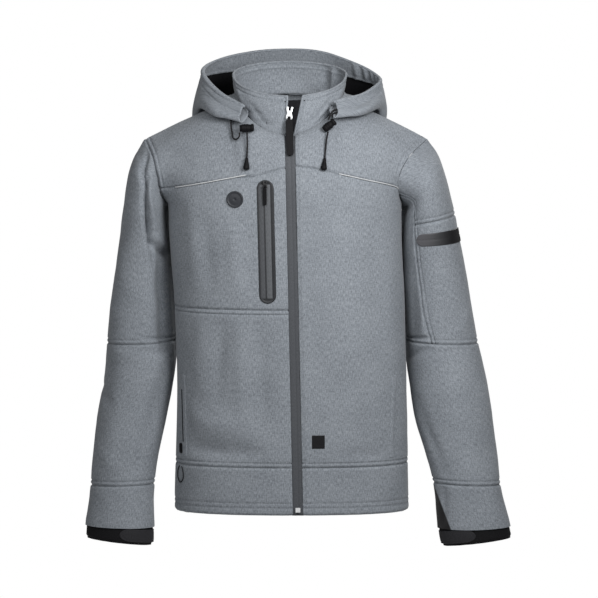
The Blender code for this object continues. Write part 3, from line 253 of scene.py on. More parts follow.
# Drawstrings: a row for each point of a route, as x, z and the distance out from the front
CORD = 0.0030
HEM_CORD = 0.0018
CORD_STEP = 2.5
CORD_FINER = 4
CORD_ROUNDNESS = 4
ROUTE = "x z out"
UPPER_RIGHT_ROUTE = columns(ROUTE, (
    (-0.1035, -0.0022, 0.0090),
    (-0.1040, -0.0140, 0.0050),
    (-0.1025, -0.0230, 0.0045),
    (-0.0985, -0.0305, 0.0050),
    (-0.0930, -0.0330, 0.0065),
    (-0.0885, -0.0300, 0.0085),
    (-0.0868, -0.0235, 0.0105),
))
LOWER_ROUTES = {
    "right": columns(ROUTE, (
        (-0.0758, -0.0340, 0.0066),
        (-0.0762, -0.0480, 0.0042),
        (-0.0770, -0.0625, 0.0041),
    )),
    "left": columns(ROUTE, (
        (0.0598, -0.0320, 0.0070),
        (0.0585, -0.0460, 0.0042),
        (0.0570, -0.0630, 0.0041),
    )),
}
STRAND = "x y z"
LEFT_STRANDS = {
    "hood_cord_front_left": columns(STRAND, (
        (0.0880, -0.0760, 0.0215),
        (0.0815, -0.0812, 0.0205),
        (0.0745, -0.0862, 0.0195),
        (0.0700, -0.0905, 0.0160),
        (0.0672, -0.0940, 0.0105),
        (0.0640, -0.0972, 0.0028),
    )),
    "hood_cord_side_left": columns(STRAND, (
        (0.0925, -0.0740, 0.0165),
        (0.0860, -0.0795, 0.0155),
        (0.0790, -0.0855, 0.0148),
        (0.0740, -0.0905, 0.0145),
        (0.0715, -0.0945, 0.0125),
        (0.0710, -0.0970, 0.0080),
    )),
}
LOCKS = {
    "right": {"x": -0.0763, "z": -0.0165, "out": 0.0105, "axis": (1.0, 0.0, 0.05)},
    "left": {"x": 0.0640, "z": -0.0125, "out": 0.0109, "axis": (1.0, 0.0, 0.80)},
}
LOCK_RADIUS = 0.0070
HEM_LOOP = columns(ROUTE, (
    (-0.1950, -0.6060, 0.0012),
    (-0.1975, -0.6150, 0.0014),
    (-0.1972, -0.6270, 0.0016),
    (-0.1930, -0.6345, 0.0018),
    (-0.1885, -0.6280, 0.0016),
    (-0.1885, -0.6160, 0.0014),
    (-0.1910, -0.6065, 0.0012),
))

# Searching on the forms: rounds of each search, and small steps for directions
HALVINGS = 36
PLACE_ROUNDS = 6
ZIP_ROUNDS = 3
FRONT_NUDGE = 0.002
BODY_NUDGE = 0.001
SLEEVE_NUDGE = 0.02
SLIDER_NUDGE = 0.01

# Fine cloth: how closely it is sampled, and how its seams are sewn
FINE = 0.0036
COARSE = 0.0055
BAND_FINE = 0.0018
EDGE = np.array((0.0, 0.0005, 0.0012, 0.0022, 0.0032, 0.0042, 0.0052, 0.0062, 0.0070, 0.0078, 0.0086, 0.0096,
                 0.0110))
SEAM_DIP = 0.0024
SEAM_REACH = 0.0022
STITCH_IN = 0.0042
LAP = 0.0078
STITCH_DIP = 0.0016
STITCH_REACH = 0.0015
STITCH_STEP = 0.0034
STITCH_LENGTH = 0.0024
STITCH_THICK = 0.0006
RIPPLE = ((9.0, 0.0011), (26.0, 0.0005), (70.0, 0.00018))
PUCKER = 0.6
PUCKER_SCALE = 110.0
HEM_STITCHES = (0.0125, 0.0205)
CUFF_STITCHES = (("low", 0.0026), ("high", 0.0026))

# Sizes of the pieces of cloth, by which they are sampled
FRONT_WIDTH = 0.27
BACK_WIDTH = 0.56
HEM_BAND_HEIGHT = 0.083
YOKE_HEIGHT = 0.16
LOWER_FRONT_HEIGHT = 0.276
CHEST_HEIGHT = 0.23
LEFT_FRONT_HEIGHT = 0.50
BACK_HEIGHT = 0.64
SLEEVE_GIRTH = 0.38
UPPER_SLEEVE_LENGTH = 0.39
CAP_LENGTH = 0.15
POCKET_PANEL_LENGTH = 0.25
OUTER_PANEL_WIDTH = 0.23
UNDER_PANEL_WIDTH = 0.15
FOREARM_LENGTH = 0.25
LOWER_SLEEVE_LENGTH = 0.075
CUFF_LENGTH = 0.034

# Folds of the body as seen from the front and the back: a soft line from one place to another
FOLD = "x1 z1 x2 z2 width lift"
FRONT_FOLDS = columns(FOLD, (
    (-0.151, -0.161, -0.139, -0.310, 0.012, -0.0024),
    (-0.177, -0.135, -0.167, -0.300, 0.012, 0.0022),
    (-0.104, -0.178, -0.097, -0.310, 0.012, 0.0020),
    (-0.073, -0.160, -0.066, -0.310, 0.010, -0.0020),
    (-0.090, -0.343, -0.085, -0.530, 0.014, 0.0034),
    (-0.122, -0.345, -0.130, -0.500, 0.012, -0.0032),
    (-0.155, -0.340, -0.164, -0.480, 0.014, 0.0026),
    (-0.055, -0.345, -0.050, -0.537, 0.012, -0.0026),
    (-0.200, -0.515, -0.060, -0.540, 0.022, 0.0050),
    (-0.195, -0.572, -0.045, -0.580, 0.016, -0.0060),
    (0.067, -0.135, 0.081, -0.362, 0.018, 0.0012),
    (0.141, -0.187, 0.151, -0.380, 0.014, -0.0016),
    (0.113, -0.362, 0.106, -0.537, 0.016, 0.0012),
    (0.041, -0.310, 0.053, -0.490, 0.014, -0.0010),
    (0.169, -0.240, 0.181, -0.485, 0.010, 0.0012),
    (0.085, -0.580, 0.195, -0.582, 0.009, -0.0018),
    (0.199, -0.047, 0.137, -0.065, 0.012, 0.0012),
    (-0.230, -0.047, -0.169, -0.073, 0.010, -0.0014),
    (-0.221, -0.090, -0.150, -0.105, 0.010, 0.0012),
    (-0.062, -0.019, -0.034, -0.036, 0.004, -0.0016),
    (-0.054, -0.014, -0.028, -0.027, 0.004, 0.0011),
    (0.018, -0.020, 0.046, -0.034, 0.004, -0.0013),
))
BACK_FOLDS = columns(FOLD, (
    (-0.120, -0.100, -0.100, -0.380, 0.020, 0.0018),
    (0.100, -0.120, 0.120, -0.400, 0.018, -0.0018),
    (0.000, -0.150, 0.010, -0.450, 0.016, -0.0014),
    (-0.060, -0.300, -0.045, -0.550, 0.018, 0.0014),
    (0.060, -0.280, 0.070, -0.520, 0.016, 0.0014),
    (-0.180, -0.500, 0.000, -0.535, 0.022, 0.0028),
    (0.020, -0.530, 0.180, -0.500, 0.020, 0.0024),
    (-0.190, -0.582, 0.190, -0.585, 0.010, -0.0026),
    (-0.160, -0.170, -0.090, -0.210, 0.014, -0.0020),
    (0.160, -0.160, 0.080, -0.205, 0.014, -0.0020),
))

# Folds of the sleeves: along the arm by section, round it by turn
SLEEVE_FOLD = "section1 turn1 section2 turn2 width lift"
BACK_SLEEVE_FOLDS = (
    (1.5, 1.35, 4.5, 1.45, 0.012, -0.0030),
    (3.0, 1.70, 5.8, 1.60, 0.016, 0.0020),
    (5.6, 1.20, 6.3, 1.75, 0.009, -0.0026),
    (6.6, 1.50, 9.0, 1.40, 0.016, 0.0020),
    (7.4, 1.80, 9.4, 1.65, 0.012, -0.0020),
)
SLEEVE_FOLDS = {
    RIGHT: columns(SLEEVE_FOLD, (
        (0.0, 1.05, 1.7, 1.10, 0.0120, 0.0060),
        (0.6, 0.22, 6.6, 0.24, 0.0360, 0.0080),
        (0.02, 0.14, 1.2, 0.48, 0.0075, -0.0110),
        (0.5, 0.42, 3.2, 0.59, 0.0080, -0.0130),
        (2.2, 0.55, 3.6, 0.66, 0.0080, -0.0090),
        (3.0, 0.58, 3.4, 0.98, 0.0080, -0.0110),
        (0.2, 0.42, 2.6, 0.70, 0.0090, 0.0050),
        (3.2, 0.76, 6.4, 0.80, 0.0200, -0.0150),
        (5.7, 0.50, 5.9, 1.00, 0.0060, -0.0026),
        (6.2, 0.50, 6.5, 0.95, 0.0070, -0.0024),
        (6.05, 0.10, 6.15, 0.60, 0.0070, -0.0012),
        (6.5, 0.30, 9.6, 0.36, 0.0180, 0.0024),
        (6.6, 0.76, 9.5, 0.62, 0.0120, -0.0030),
        (7.1, -0.10, 7.8, 0.34, 0.0095, -0.0024),
        (8.6, 0.12, 9.3, 0.52, 0.0120, 0.0014),
        (10.1, 0.30, 10.9, 0.40, 0.0120, 0.0010),
        (10.1, 0.72, 10.95, 0.66, 0.0090, -0.0018),
    ) + BACK_SLEEVE_FOLDS),
    LEFT: columns(SLEEVE_FOLD, (
        (0.0, 1.05, 1.7, 1.10, 0.0120, 0.0110),
        (0.9, 0.70, 3.2, 0.78, 0.0080, -0.0016),
        (3.4, 0.72, 6.0, 0.82, 0.0090, -0.0022),
        (4.3, 0.64, 5.7, 0.70, 0.0070, 0.0030),
        (3.3, 0.48, 4.0, 0.22, 0.0100, -0.0018),
        (4.6, 0.12, 5.6, 0.36, 0.0120, 0.0014),
        (5.7, 0.58, 5.9, 1.00, 0.0060, -0.0028),
        (6.1, 0.60, 6.6, 1.00, 0.0080, -0.0036),
        (6.1, 0.15, 6.2, 0.55, 0.0070, -0.0012),
        (6.4, 0.42, 9.6, 0.40, 0.0200, 0.0024),
        (7.4, 0.82, 9.8, 0.68, 0.0120, -0.0034),
        (10.05, 0.74, 10.95, 0.82, 0.0090, -0.0034),
        (10.2, 0.30, 10.9, 0.26, 0.0120, 0.0010),
    ) + BACK_SLEEVE_FOLDS),
}
TURN_METRES = 0.19
SECTION_METRES = 0.068
SIDE_FADE = 0.1
ARMHOLE_FADE = 0.5
FOLD_UNEVEN = 0.4
FOLD_UNEVEN_SCALE = 24.0

# Collar, hood and zip details
COLLAR_THICKNESS = 0.0026
COLLAR_ROLL = 0.0021
COLLAR_STITCH = 0.0090
COLLAR_RISE = 1.2
COLLAR_RIPPLE = 0.5
COLLAR_HALF_LENGTH = 0.25
COLLAR_HEIGHT = 0.06
COLLAR_STEP = 0.003
COLLAR_RISE_STEP = 0.0022
COLLAR_INSIDE = -0.06
COLLAR_FOLDS = columns("turn1 rise1 turn2 rise2 width lift", (
    (0.30, 0.15, 0.55, 0.75, 0.07, -0.0022),
    (0.38, 0.03, 0.62, 0.36, 0.06, -0.0020),
    (-0.64, 0.03, -0.36, 0.46, 0.07, -0.0026),
    (-0.44, 0.00, -0.20, 0.28, 0.06, -0.0018),
    (0.62, 0.10, 0.78, 0.90, 0.06, 0.0020),
    (0.95, 0.20, 1.05, 0.90, 0.07, -0.0024),
    (1.25, 0.10, 1.28, 0.95, 0.07, 0.0026),
    (1.40, 0.15, 1.43, 1.00, 0.05, -0.0044),
    (1.54, 0.15, 1.56, 1.00, 0.06, 0.0030),
    (-0.28, 0.10, -0.48, 0.60, 0.07, -0.0022),
    (-0.60, 0.20, -0.75, 0.90, 0.07, 0.0020),
    (-1.00, 0.10, -1.10, 0.90, 0.08, -0.0020),
    (1.70, 0.10, 1.75, 0.80, 0.10, -0.0014),
    (-1.60, 0.10, -1.65, 0.80, 0.10, 0.0014),
))
HOOD_HEM = 0.015
HOOD_PLACES = (120, 100, 32)
HOOD_DEPTH = 0.37
FACING_ROWS = 14
FACING_UNEVEN = 0.5
FACING_UNEVEN_SCALE = 18.0
LINING_FIRST = 0.1
FACING_SHORT = 3
LINING_SHORT = 10
LINING_ROW_STEP = 2
LINING_PLACE_STEP = 2
FLAT_REACH = 0.012
FLAT_PLACES = (
    (-0.0435, -0.2073, 0.0165, 0.1100),
    (-0.0984, -0.1338, 0.0150, 0.0150),
    (0.0467, -0.5570, 0.0115, 0.0120),
    (-0.1885, -0.5175, 0.0060, 0.0740),
    (0.1773, -0.5175, 0.0060, 0.0740),
)
HOOD_ROLLS = columns("place radius", (
    (-1.0, 0.0030),
    (-0.85, 0.0046),
    (-0.66, 0.0042),
    (-0.45, 0.0024),
    (0.30, 0.0022),
    (0.70, 0.0030),
    (0.90, 0.0036),
    (1.0, 0.0026),
))
HOOD_FOLDS = columns(FOLD, (
    (-0.160, 0.045, -0.085, 0.012, 0.0075, -0.0050),
    (-0.168, 0.022, -0.120, 0.000, 0.0090, 0.0040),
    (0.163, 0.050, 0.092, 0.018, 0.0070, -0.0052),
    (0.160, 0.030, 0.105, 0.008, 0.0070, 0.0030),
    (0.172, 0.018, 0.135, 0.000, 0.0060, -0.0030),
))
GATHER_LOOK = 1.3
TAPE_BEHIND = 0.0015
TAPE_DEPTH = 0.0044
TAPE_CROWN = 0.0006

TAPE_ACROSS = columns("share crown", (
    (-1.0, 0.0),
    (-0.8, 0.5),
    (-0.5, 1.0),
    (-0.2, 0.8),
    (-0.06, 0.2),
    (0.0, -0.4),
    (0.06, 0.2),
    (0.2, 0.8),
    (0.5, 1.0),
    (0.8, 0.5),
    (1.0, 0.0),
))
TAPE_MIDDLE = 5
TAPE_ROWS = {"low": 120, "high": 60, "collar": 14}

# Round edges: angles of their rounded ends, and a direction that none of them runs along
TUBE_SIDES = 10
TUBE_END = np.radians((90, 60, 30))
TUBE_END_LEAST = 0.02
TUBE_ASIDE = np.array((0.123, 0.456, 0.882))

# Trim that lies on the cloth
STRIP_COUNT = 21
STRIP_END = np.radians(np.arange(6, 91, 7))
RELIEF_BASE = 0.0001
RELIEF_LEAST = 0.0002
POCKET_EDGE = 0.0016
POCKET_BORDER = 0.0022
POCKET_RIM = 0.0016
POCKET_WELL = 0.0010
POCKET_LIP_START = 0.0084
POCKET_TAPE_ENDS = 0.008
POCKET_TAPE_HEIGHT = 0.0007
POCKET_TAPE_CROWN = 0.0007
POCKET_TAPE_COUNT = 9
POCKET_TAPES = (
    # the right tape uses a darker copy of the pocket tape: painted shade
    ("chest_pocket_tape_right", -0.0126, -0.0036, "pocket tape painted shade"),
    ("chest_pocket_tape_left", -0.0016, 0.0086, "pocket tape"),
)
BUTTON_PROFILE = columns("share height", (
    (0.001, 0.0019),
    (0.30, 0.0018),
    (0.55, 0.0015),
    (0.70, 0.0012),
    (0.76, 0.0013),
    (0.82, 0.0022),
    (0.89, 0.0026),
    (0.95, 0.0023),
    (0.99, 0.0012),
    (1.0, 0.0003),
))
BUTTON_COUNT = 61
LABEL_HEIGHT = 0.0010
LABEL_RIM = 0.4
LABEL_EDGE = 0.0020
LABEL_COUNT = 25
WELT_EDGE = 0.0030
WELT_HEIGHT = 0.0011
WELT_LINES = {"right": (-0.0010, 0.0014, "rubber"), "left": (0.0012, 0.0007, "thread")}
WELT_LINE_HEIGHT = 0.0014
WELT_LINE_INSET = 0.18
PULLER = ((-0.1925, -0.566), (-0.1922, -0.584), 0.0032, 0.0024)
PIPING_RADIUS = 0.0010
PIPING_RISE = 0.0001
PIPING_COUNT = 80
SLEEVE_ZIP_COUNT = 90
SLEEVE_FILM = 0.0014
SLEEVE_GROOVE = 0.5
SLEEVE_GROOVE_REACH = 0.1
CUFF_TURN_METRES = 0.12
CUFF_TAB_ROUND = 0.0125
CUFF_TAB_STITCH = 0.0030
CUFF_TAB_STITCH_REACH = 0.0009
CUFF_TAB_STITCH_DIP = 0.0006
CUFF_TAB_HEIGHT = 0.0017
CUFF_TAB_RIM = 0.0020
CUFF_TAB_COUNT = 110
CUFF_TAB_CLOSER = 1.5
CUFF_TAB_TIP = 0.998
LATHE_SIDES = 28
LATHE_ASIDE = np.array((0.3, 0.9, 0.1))
LATHE_LEAST = 0.0001
LOCK_PROFILE = columns("along radius", (
    (-0.0125, LATHE_LEAST),
    (-0.0125, 0.0046),
    (-0.0119, 0.0056),
    (-0.0090, 0.0060),
    (-0.0082, 0.0069),
    (-0.0062, 0.0070),
    (-0.0054, 0.0062),
    (-0.0046, 0.0069),
    (-0.0026, 0.0070),
    (-0.0018, 0.0062),
    (-0.0010, 0.0069),
    (0.0024, 0.0070),
    (0.0032, 0.0060),
    (0.0070, 0.0056),
    (0.0078, 0.0068),
    (0.0112, 0.0066),
    (0.0125, 0.0050),
    (0.0125, LATHE_LEAST),
))
BELL_PROFILE = columns("along radius", (
    (0.0003, LATHE_LEAST),
    (0.0003, 0.0022),
    (0.0020, 0.0027),
    (0.0060, 0.0031),
    (0.0110, 0.0042),
    (0.0160, 0.0052),
    (0.0190, 0.0056),
    (0.0205, 0.0050),
    (0.0213, 0.0034),
    (0.0215, LATHE_LEAST),
))

# Sliders: half outline of the Y-shaped body as shares of its half width and half length
SLIDER_OUTLINE = (
    (0.26, 0.42),
    (0.40, 1.00),
    (0.98, 1.00),
    (0.94, 0.46),
    (0.66, 0.08),
    (0.66, -0.14),
    (0.92, -0.46),
    (0.92, -0.78),
    (0.66, -0.98),
)
SLIDER_EASE = 0.0005
TAB_SHOULDER = 0.0032
TAB_EASE = 0.0006
TAB_TOP = 0.0014
TAB_CORNER = 0.35
EASE_STEPS = 3

# Lower sleeves: how far their hems lap over the cuffs, as shares of the cuff
OVER_CUFF = {RIGHT: (0.17, 0.12), LEFT: (0.21, 0.17)}
OVER_CUFF_RAMP = 0.60
OVER_CUFF_LIFT = 0.0026

# Grey melange: yarns by what they follow, how they are drawn out, their detail and weight
CLOTH_DARK = (0.140, 0.154, 0.173)
CLOTH_MIDDLE = (0.215, 0.236, 0.262)
CLOTH_LIGHT = (0.295, 0.318, 0.347)
CLOTH_STOPS = ((0.40, CLOTH_DARK), (0.5, CLOTH_MIDDLE), (0.60, CLOTH_LIGHT))
CLOTH_ROUGHNESS = 0.88
CLOTH_SHEEN = 0.12
CLOTH_SPECULAR = 0.25
CLOTH_RELIEF = (0.0006, 0.55)
YARN_COLOURS = (
    ("weave", (640.0, 150.0, 1.0), 2.0, 0.42),
    ("weave", (130.0, 620.0, 1.0), 2.0, 0.22),
    ("weave", (1100.0, 700.0, 1.0), 1.0, 0.26),
    ("place", (16.0, 16.0, 16.0), 2.0, 0.10),
)
YARN_HEIGHTS = (
    ("weave", (1500.0, 700.0, 1.0), 1.0, 0.5),
    ("weave", (700.0, 1500.0, 1.0), 1.0, 0.5),
)

# Black patch on the left lower sleeve, where a place measured along a slant is below a value
BLACK_PATCH_LINE = (1.0, 0.0, 0.394)
BLACK_PATCH_AT = -0.0043
BLACK_PATCH_SOFT = 0.0012
BLACK_PATCH_COLOUR = (0.008, 0.008, 0.009, 1.0)

# Film of the sleeve pocket: from grey to black between two places across the sleeve
FILM_ENDS = (0.222, 0.292)
FILM_EVEN = (0.05, 0.05, 0.055)
FILM_GREY = (0.100, 0.099, 0.107)
FILM_MIDDLE = (0.040, 0.041, 0.044)
FILM_BLACK = (0.005, 0.005, 0.006)
FILM_STOPS = ((0.05, FILM_GREY), (0.45, FILM_MIDDLE), (0.80, FILM_BLACK))
FILM_ROUGHNESS = 0.50
FILM_SPECULAR = 0.4
FILM_GRAIN = (300.0, 300.0, 900.0)
FILM_GRAIN_WEIGHT = 0.1
FILM_RELIEF = (0.0002, 0.4)

# Fabrics: dark and light yarn, roughness, what the yarn follows and how it is drawn out
FABRICS = {
    "lining": ((0.004, 0.004, 0.005), (0.012, 0.012, 0.014), 0.92, "weave", (700.0, 700.0, 1.0)),
    "lining inside": ((0.004, 0.004, 0.005), (0.012, 0.012, 0.014), 0.92, "place", (700.0, 700.0, 700.0)),
    "cuff": ((0.003, 0.003, 0.004), (0.010, 0.010, 0.011), 0.80, "weave", (300.0, 1400.0, 1.0)),
    "zip tape": ((0.060, 0.064, 0.071), (0.088, 0.093, 0.102), 0.55, "weave", (900.0, 300.0, 1.0)),
    "cord": ((0.004, 0.004, 0.005), (0.022, 0.022, 0.024), 0.70, "place", (900.0, 900.0, 900.0)),
    "thread": ((0.120, 0.130, 0.146), (0.185, 0.200, 0.220), 0.80, "place", (900.0, 900.0, 900.0)),
    "dark thread": ((0.010, 0.010, 0.011), (0.035, 0.035, 0.038), 0.80, "place", (900.0, 900.0, 900.0)),
    "piping": ((0.430, 0.445, 0.460), (0.620, 0.630, 0.640), 0.40, "place", (800.0, 800.0, 800.0)),
    "pocket tape": ((0.080, 0.085, 0.092), (0.120, 0.126, 0.135), 0.60, "weave", (900.0, 200.0, 1.0)),
    # darker copy of the pocket tape, painted shade for the right tape of the chest pocket
    "pocket tape painted shade": ((0.055, 0.058, 0.064), (0.085, 0.089, 0.096), 0.60, "weave", (900.0, 200.0, 1.0)),
    "label": ((0.006, 0.006, 0.007), (0.016, 0.016, 0.018), 0.80, "weave", (1500.0, 500.0, 1.0)),
    "tab": ((0.016, 0.016, 0.018), (0.032, 0.032, 0.036), 0.70, "weave", (500.0, 900.0, 1.0)),
}
FABRIC_SHEEN = 0.02
FABRIC_SPECULAR = 0.15
FABRIC_RELIEF = (0.0005, 0.5)
SHEEN_ROUGHNESS = 0.5

# Moulded and cast surfaces: dark and light, roughness, grain and its depth, metallic and specular values
MOULDINGS = {
    "button": ((0.020, 0.022, 0.027), (0.034, 0.037, 0.044), 0.50, 700.0, 0.0002, 0.0, 0.3),
    "black metal": ((0.010, 0.010, 0.011), (0.024, 0.024, 0.026), 0.28, 400.0, 0.0001, 0.0, 0.3),
    "welded zip": ((0.016, 0.017, 0.019), (0.030, 0.032, 0.036), 0.50, 500.0, 0.0002, 0.0, 0.3),
    "rubber": ((0.003, 0.003, 0.004), (0.009, 0.009, 0.010), 0.60, 600.0, 0.0002, 0.0, 0.12),
    "metal": ((0.520, 0.530, 0.540), (0.700, 0.710, 0.720), 0.30, 400.0, 0.0001, 1.0, 0.3),
    "end stop": ((0.600, 0.610, 0.620), (0.760, 0.770, 0.780), 0.40, 400.0, 0.0001, 0.0, 0.3),
}
GRAIN_DETAIL = 3.0
GRAIN_STRENGTH = 0.4
PATTERN_DETAIL = 2.0
PATTERN_ENDS = (0.3, 0.7)
KEPT_NODES = {"zip_flap": "lining inside", "zip_end_stop": "end stop", "hem_toggle_right": "rubber"}

# Studio
TARGET = (0.013, 0.0, -0.318)
CAMERA_DISTANCE = 20.0
CAMERA_RISE = math.radians(5)
LENS = 688.0
SENSOR = 36.0
SEEN_WHITE = 1.0
WORLD_STRENGTH = 0.14
LAMPS = (
    ("key", (0.56, -1.12, 0.42), 0.7, 18.0),
    ("fill", (-0.6, -1.4, 0.5), 1.0, 9.5),
    ("rim", (0.6, 2.2, 1.2), 1.6, 34.0),
)
FLOOR_Z = -1.45
FLOOR_SIZE = 6.0
FLOOR_GREY = (0.80, 0.80, 0.80, 1.0)
FLOOR_ROUGHNESS = 0.9
WHITE = (1.0, 1.0, 1.0, 1.0)

# What is made along the way: materials by finish, and rows of stitches by thread
finishes = {}
stitch_marks = {"thread": [], "dark thread": []}


def smooth(at, knots, values):
    """Cubic curve through the rows of a column, held level past its ends."""
    at = np.clip(at, knots[0], knots[-1])
    slope = np.gradient(values, knots, axis=0)
    k = np.clip(np.searchsorted(knots, at) - 1, 0, len(knots) - 2)
    step = knots[k + 1] - knots[k]
    t = (at - knots[k]) / step
    spread = t.shape + (1,) * (values.ndim - 1)
    t = t.reshape(spread)
    step = step.reshape(spread)
    near = (1 + 2 * t) * (1 - t) ** 2 * values[k] + t * (1 - t) ** 2 * step * slope[k]
    far = t * t * (3 - 2 * t) * values[k + 1] + t * t * (t - 1) * step * slope[k + 1]
    return near + far


def lean(z):
    """Sideways shift of the whole body at a height."""
    return smooth(z, LEAN["z"], LEAN["shift"])


def neck_and_shoulder(face, across):
    """Top edge of the body: half the neckline, then the shoulder seam."""
    turn = np.clip(across / NECK_ACROSS, 0, 1) * QUARTER
    out = np.clip((across - NECK_ACROSS) / (1 - NECK_ACROSS), 0, 1)
    middle_y = NECK_FRONT_Y if face == FRONT else NECK_BACK_Y
    middle_z = NECK_FRONT_Z if face == FRONT else NECK_BACK_Z
    x = NECK_X * np.sin(turn) + (SHOULDER_X - NECK_X) * out
    y = middle_y * np.cos(turn) + SHOULDER_Y * out
    level_off = np.abs(np.cos(turn)) ** NECK_ROUNDING
    z = NECK_Z + (middle_z - NECK_Z) * level_off + (SHOULDER_Z - NECK_Z) * out ** SHOULDER_ROUNDING
    return x, y, z


def armhole(face, w, side):
    """Armhole edge from the underarm at w 0 to the shoulder point at w 1, straighter at the right front."""
    name = "front" if face == FRONT else "back"
    x, y, z = (smooth(w, ARMHOLE["w"], ARMHOLE[f"{name}_{axis}"]) for axis in "xyz")
    straighter = np.sin(w * math.pi) * (side == RIGHT) * (face == FRONT)
    return x + ARMHOLE_RIGHT_OUT * straighter, y + ARMHOLE_RIGHT_BACK * straighter, z


def torso(face, across, height):
    """Point on the body: across runs -1 to 1 from side to side, height 0 hem, 1 underarm, 2 top."""
    across, height = np.broadcast_arrays(np.asarray(across, float), np.asarray(height, float))
    a = np.abs(across)
    low_z = HEM_Z + (ARMPIT_Z - HEM_Z) * np.clip(height, 0, 1)
    w = np.clip(height - 1, 0, 1)
    depth = TORSO["front"] if face == FRONT else TORSO["back"]
    x = smooth(low_z, TORSO["z"], TORSO["half_width"]) * np.sin(a * QUARTER) ** ROUNDNESS
    y = face * smooth(low_z, TORSO["z"], depth) * np.abs(np.cos(a * QUARTER)) ** ROUNDNESS
    top_x, top_y, top_z = neck_and_shoulder(face, a)
    over = 1 - np.cos(w * QUARTER)
    rise = np.sin(w * QUARTER)
    hole_x, hole_y, hole_z = armhole(face, w, np.sign(across))
    pull = a ** 3
    under_x = TORSO["half_width"][-1]
    x = x + (top_x - x) * w + pull * (hole_x - under_x - (SHOULDER_X - under_x) * w)
    y = y + (top_y - y) * over + pull * (hole_y - SHOULDER_Y * over)
    z = low_z + (top_z - low_z) * rise + pull * (hole_z - ARMPIT_Z - (SHOULDER_Z - ARMPIT_Z) * rise)
    z = np.where(w > 0, z, low_z)
    return np.stack((np.sign(across) * x + lean(z), y, z), axis=-1)


def bisect(measure, target, low, high):
    """Where a rising measure meets its target."""
    target = np.asarray(target, float)
    low = np.full(target.shape, low, float)
    high = np.full(target.shape, high, float)
    for _ in range(HALVINGS):
        middle = (low + high) / 2
        below = measure(middle) < target
        low = np.where(below, middle, low)
        high = np.where(below, high, middle)
    return (low + high) / 2


def across_at(x, height):
    """Place across the front where it has this x."""
    x, height = np.broadcast_arrays(np.asarray(x, float), np.asarray(height, float))
    return bisect(lambda across: torso(FRONT, across, height)[..., 0], x, -1, 1)


def height_at(across, z):
    """Height coordinate on the front where it has this z."""
    across, z = np.broadcast_arrays(np.asarray(across, float), np.asarray(z, float))
    return bisect(lambda height: torso(FRONT, across, height)[..., 2], z, 0, 2)


def front_place(x, z):
    """Coordinates on the front of the point seen at x, z."""
    across = np.asarray(x, float) / TORSO["half_width"][-1]
    for _ in range(PLACE_ROUNDS):
        height = height_at(across, z)
        across = across_at(x, height)
    return across, height


def front_frame(x, z):
    """Point on the front seen at x, z, and the direction out of the cloth there."""
    across, height = front_place(x, z)
    point = torso(FRONT, across, height)
    sideways = torso(FRONT, across + FRONT_NUDGE, height) - torso(FRONT, across - FRONT_NUDGE, height)
    upwards = torso(FRONT, across, height + FRONT_NUDGE) - torso(FRONT, across, height - FRONT_NUDGE)
    return point, unit(np.cross(sideways, upwards))


def low_height(z):
    """Height coordinate of a level below the underarm."""
    return (np.asarray(z, float) - HEM_Z) / (ARMPIT_Z - HEM_Z)


def zip_x(z):
    """Centre line of the main zip."""
    return ZIP_TOP_X + ZIP_SLANT * (z - ZIP_TOP_Z)


def zip_edge(side, height, half=ZIP_WIDTH / 2):
    """Place across the front of one edge of the zip opening, or of a strip in it."""
    across = np.zeros_like(height)
    for _ in range(ZIP_ROUNDS):
        z = torso(FRONT, across, height)[..., 2]
        across = across_at(zip_x(z) + side * half, height)
    return across


def yoke_height(across):
    """Height coordinate of the yoke seam, which sags a little on the right."""
    reach = np.abs(across)
    sag = YOKE_RIGHT_SAG * np.clip(-across / YOKE_SAG_FULL, 0, 1) * np.sqrt(1 - reach)
    return height_at(across, smooth(reach, YOKE["across"], YOKE["z"]) - sag)


def face_out(face, across, height):
    """Direction out of the cloth on one face of the body."""
    wider = torso(face, np.clip(across + BODY_NUDGE, -1, 1), height)
    narrower = torso(face, np.clip(across - BODY_NUDGE, -1, 1), height)
    higher = torso(face, across, np.clip(height + BODY_NUDGE, 0, 2))
    lower = torso(face, across, np.clip(height - BODY_NUDGE, 0, 2))
    return unit(-face * np.cross(wider - narrower, higher - lower))


def torso_out(face, across, height):
    """Direction out of the cloth on the body, shared by front and back along the shoulder seam."""
    own = face_out(face, across, height)
    shared = unit(face_out(FRONT, across, height) + face_out(BACK, across, height))
    on_shoulder = (height >= 2) & (np.abs(across) >= NECK_ACROSS)
    return np.where(on_shoulder[..., None], shared, own)


def unit(vectors):
    """Vectors at length 1."""
    return vectors / np.linalg.norm(vectors, axis=-1, keepdims=True)


def grid_out(grid):
    """Directions across a grid of points, from the neighbours along its rows and columns."""
    return unit(np.cross(np.gradient(grid, axis=1), np.gradient(grid, axis=0)))


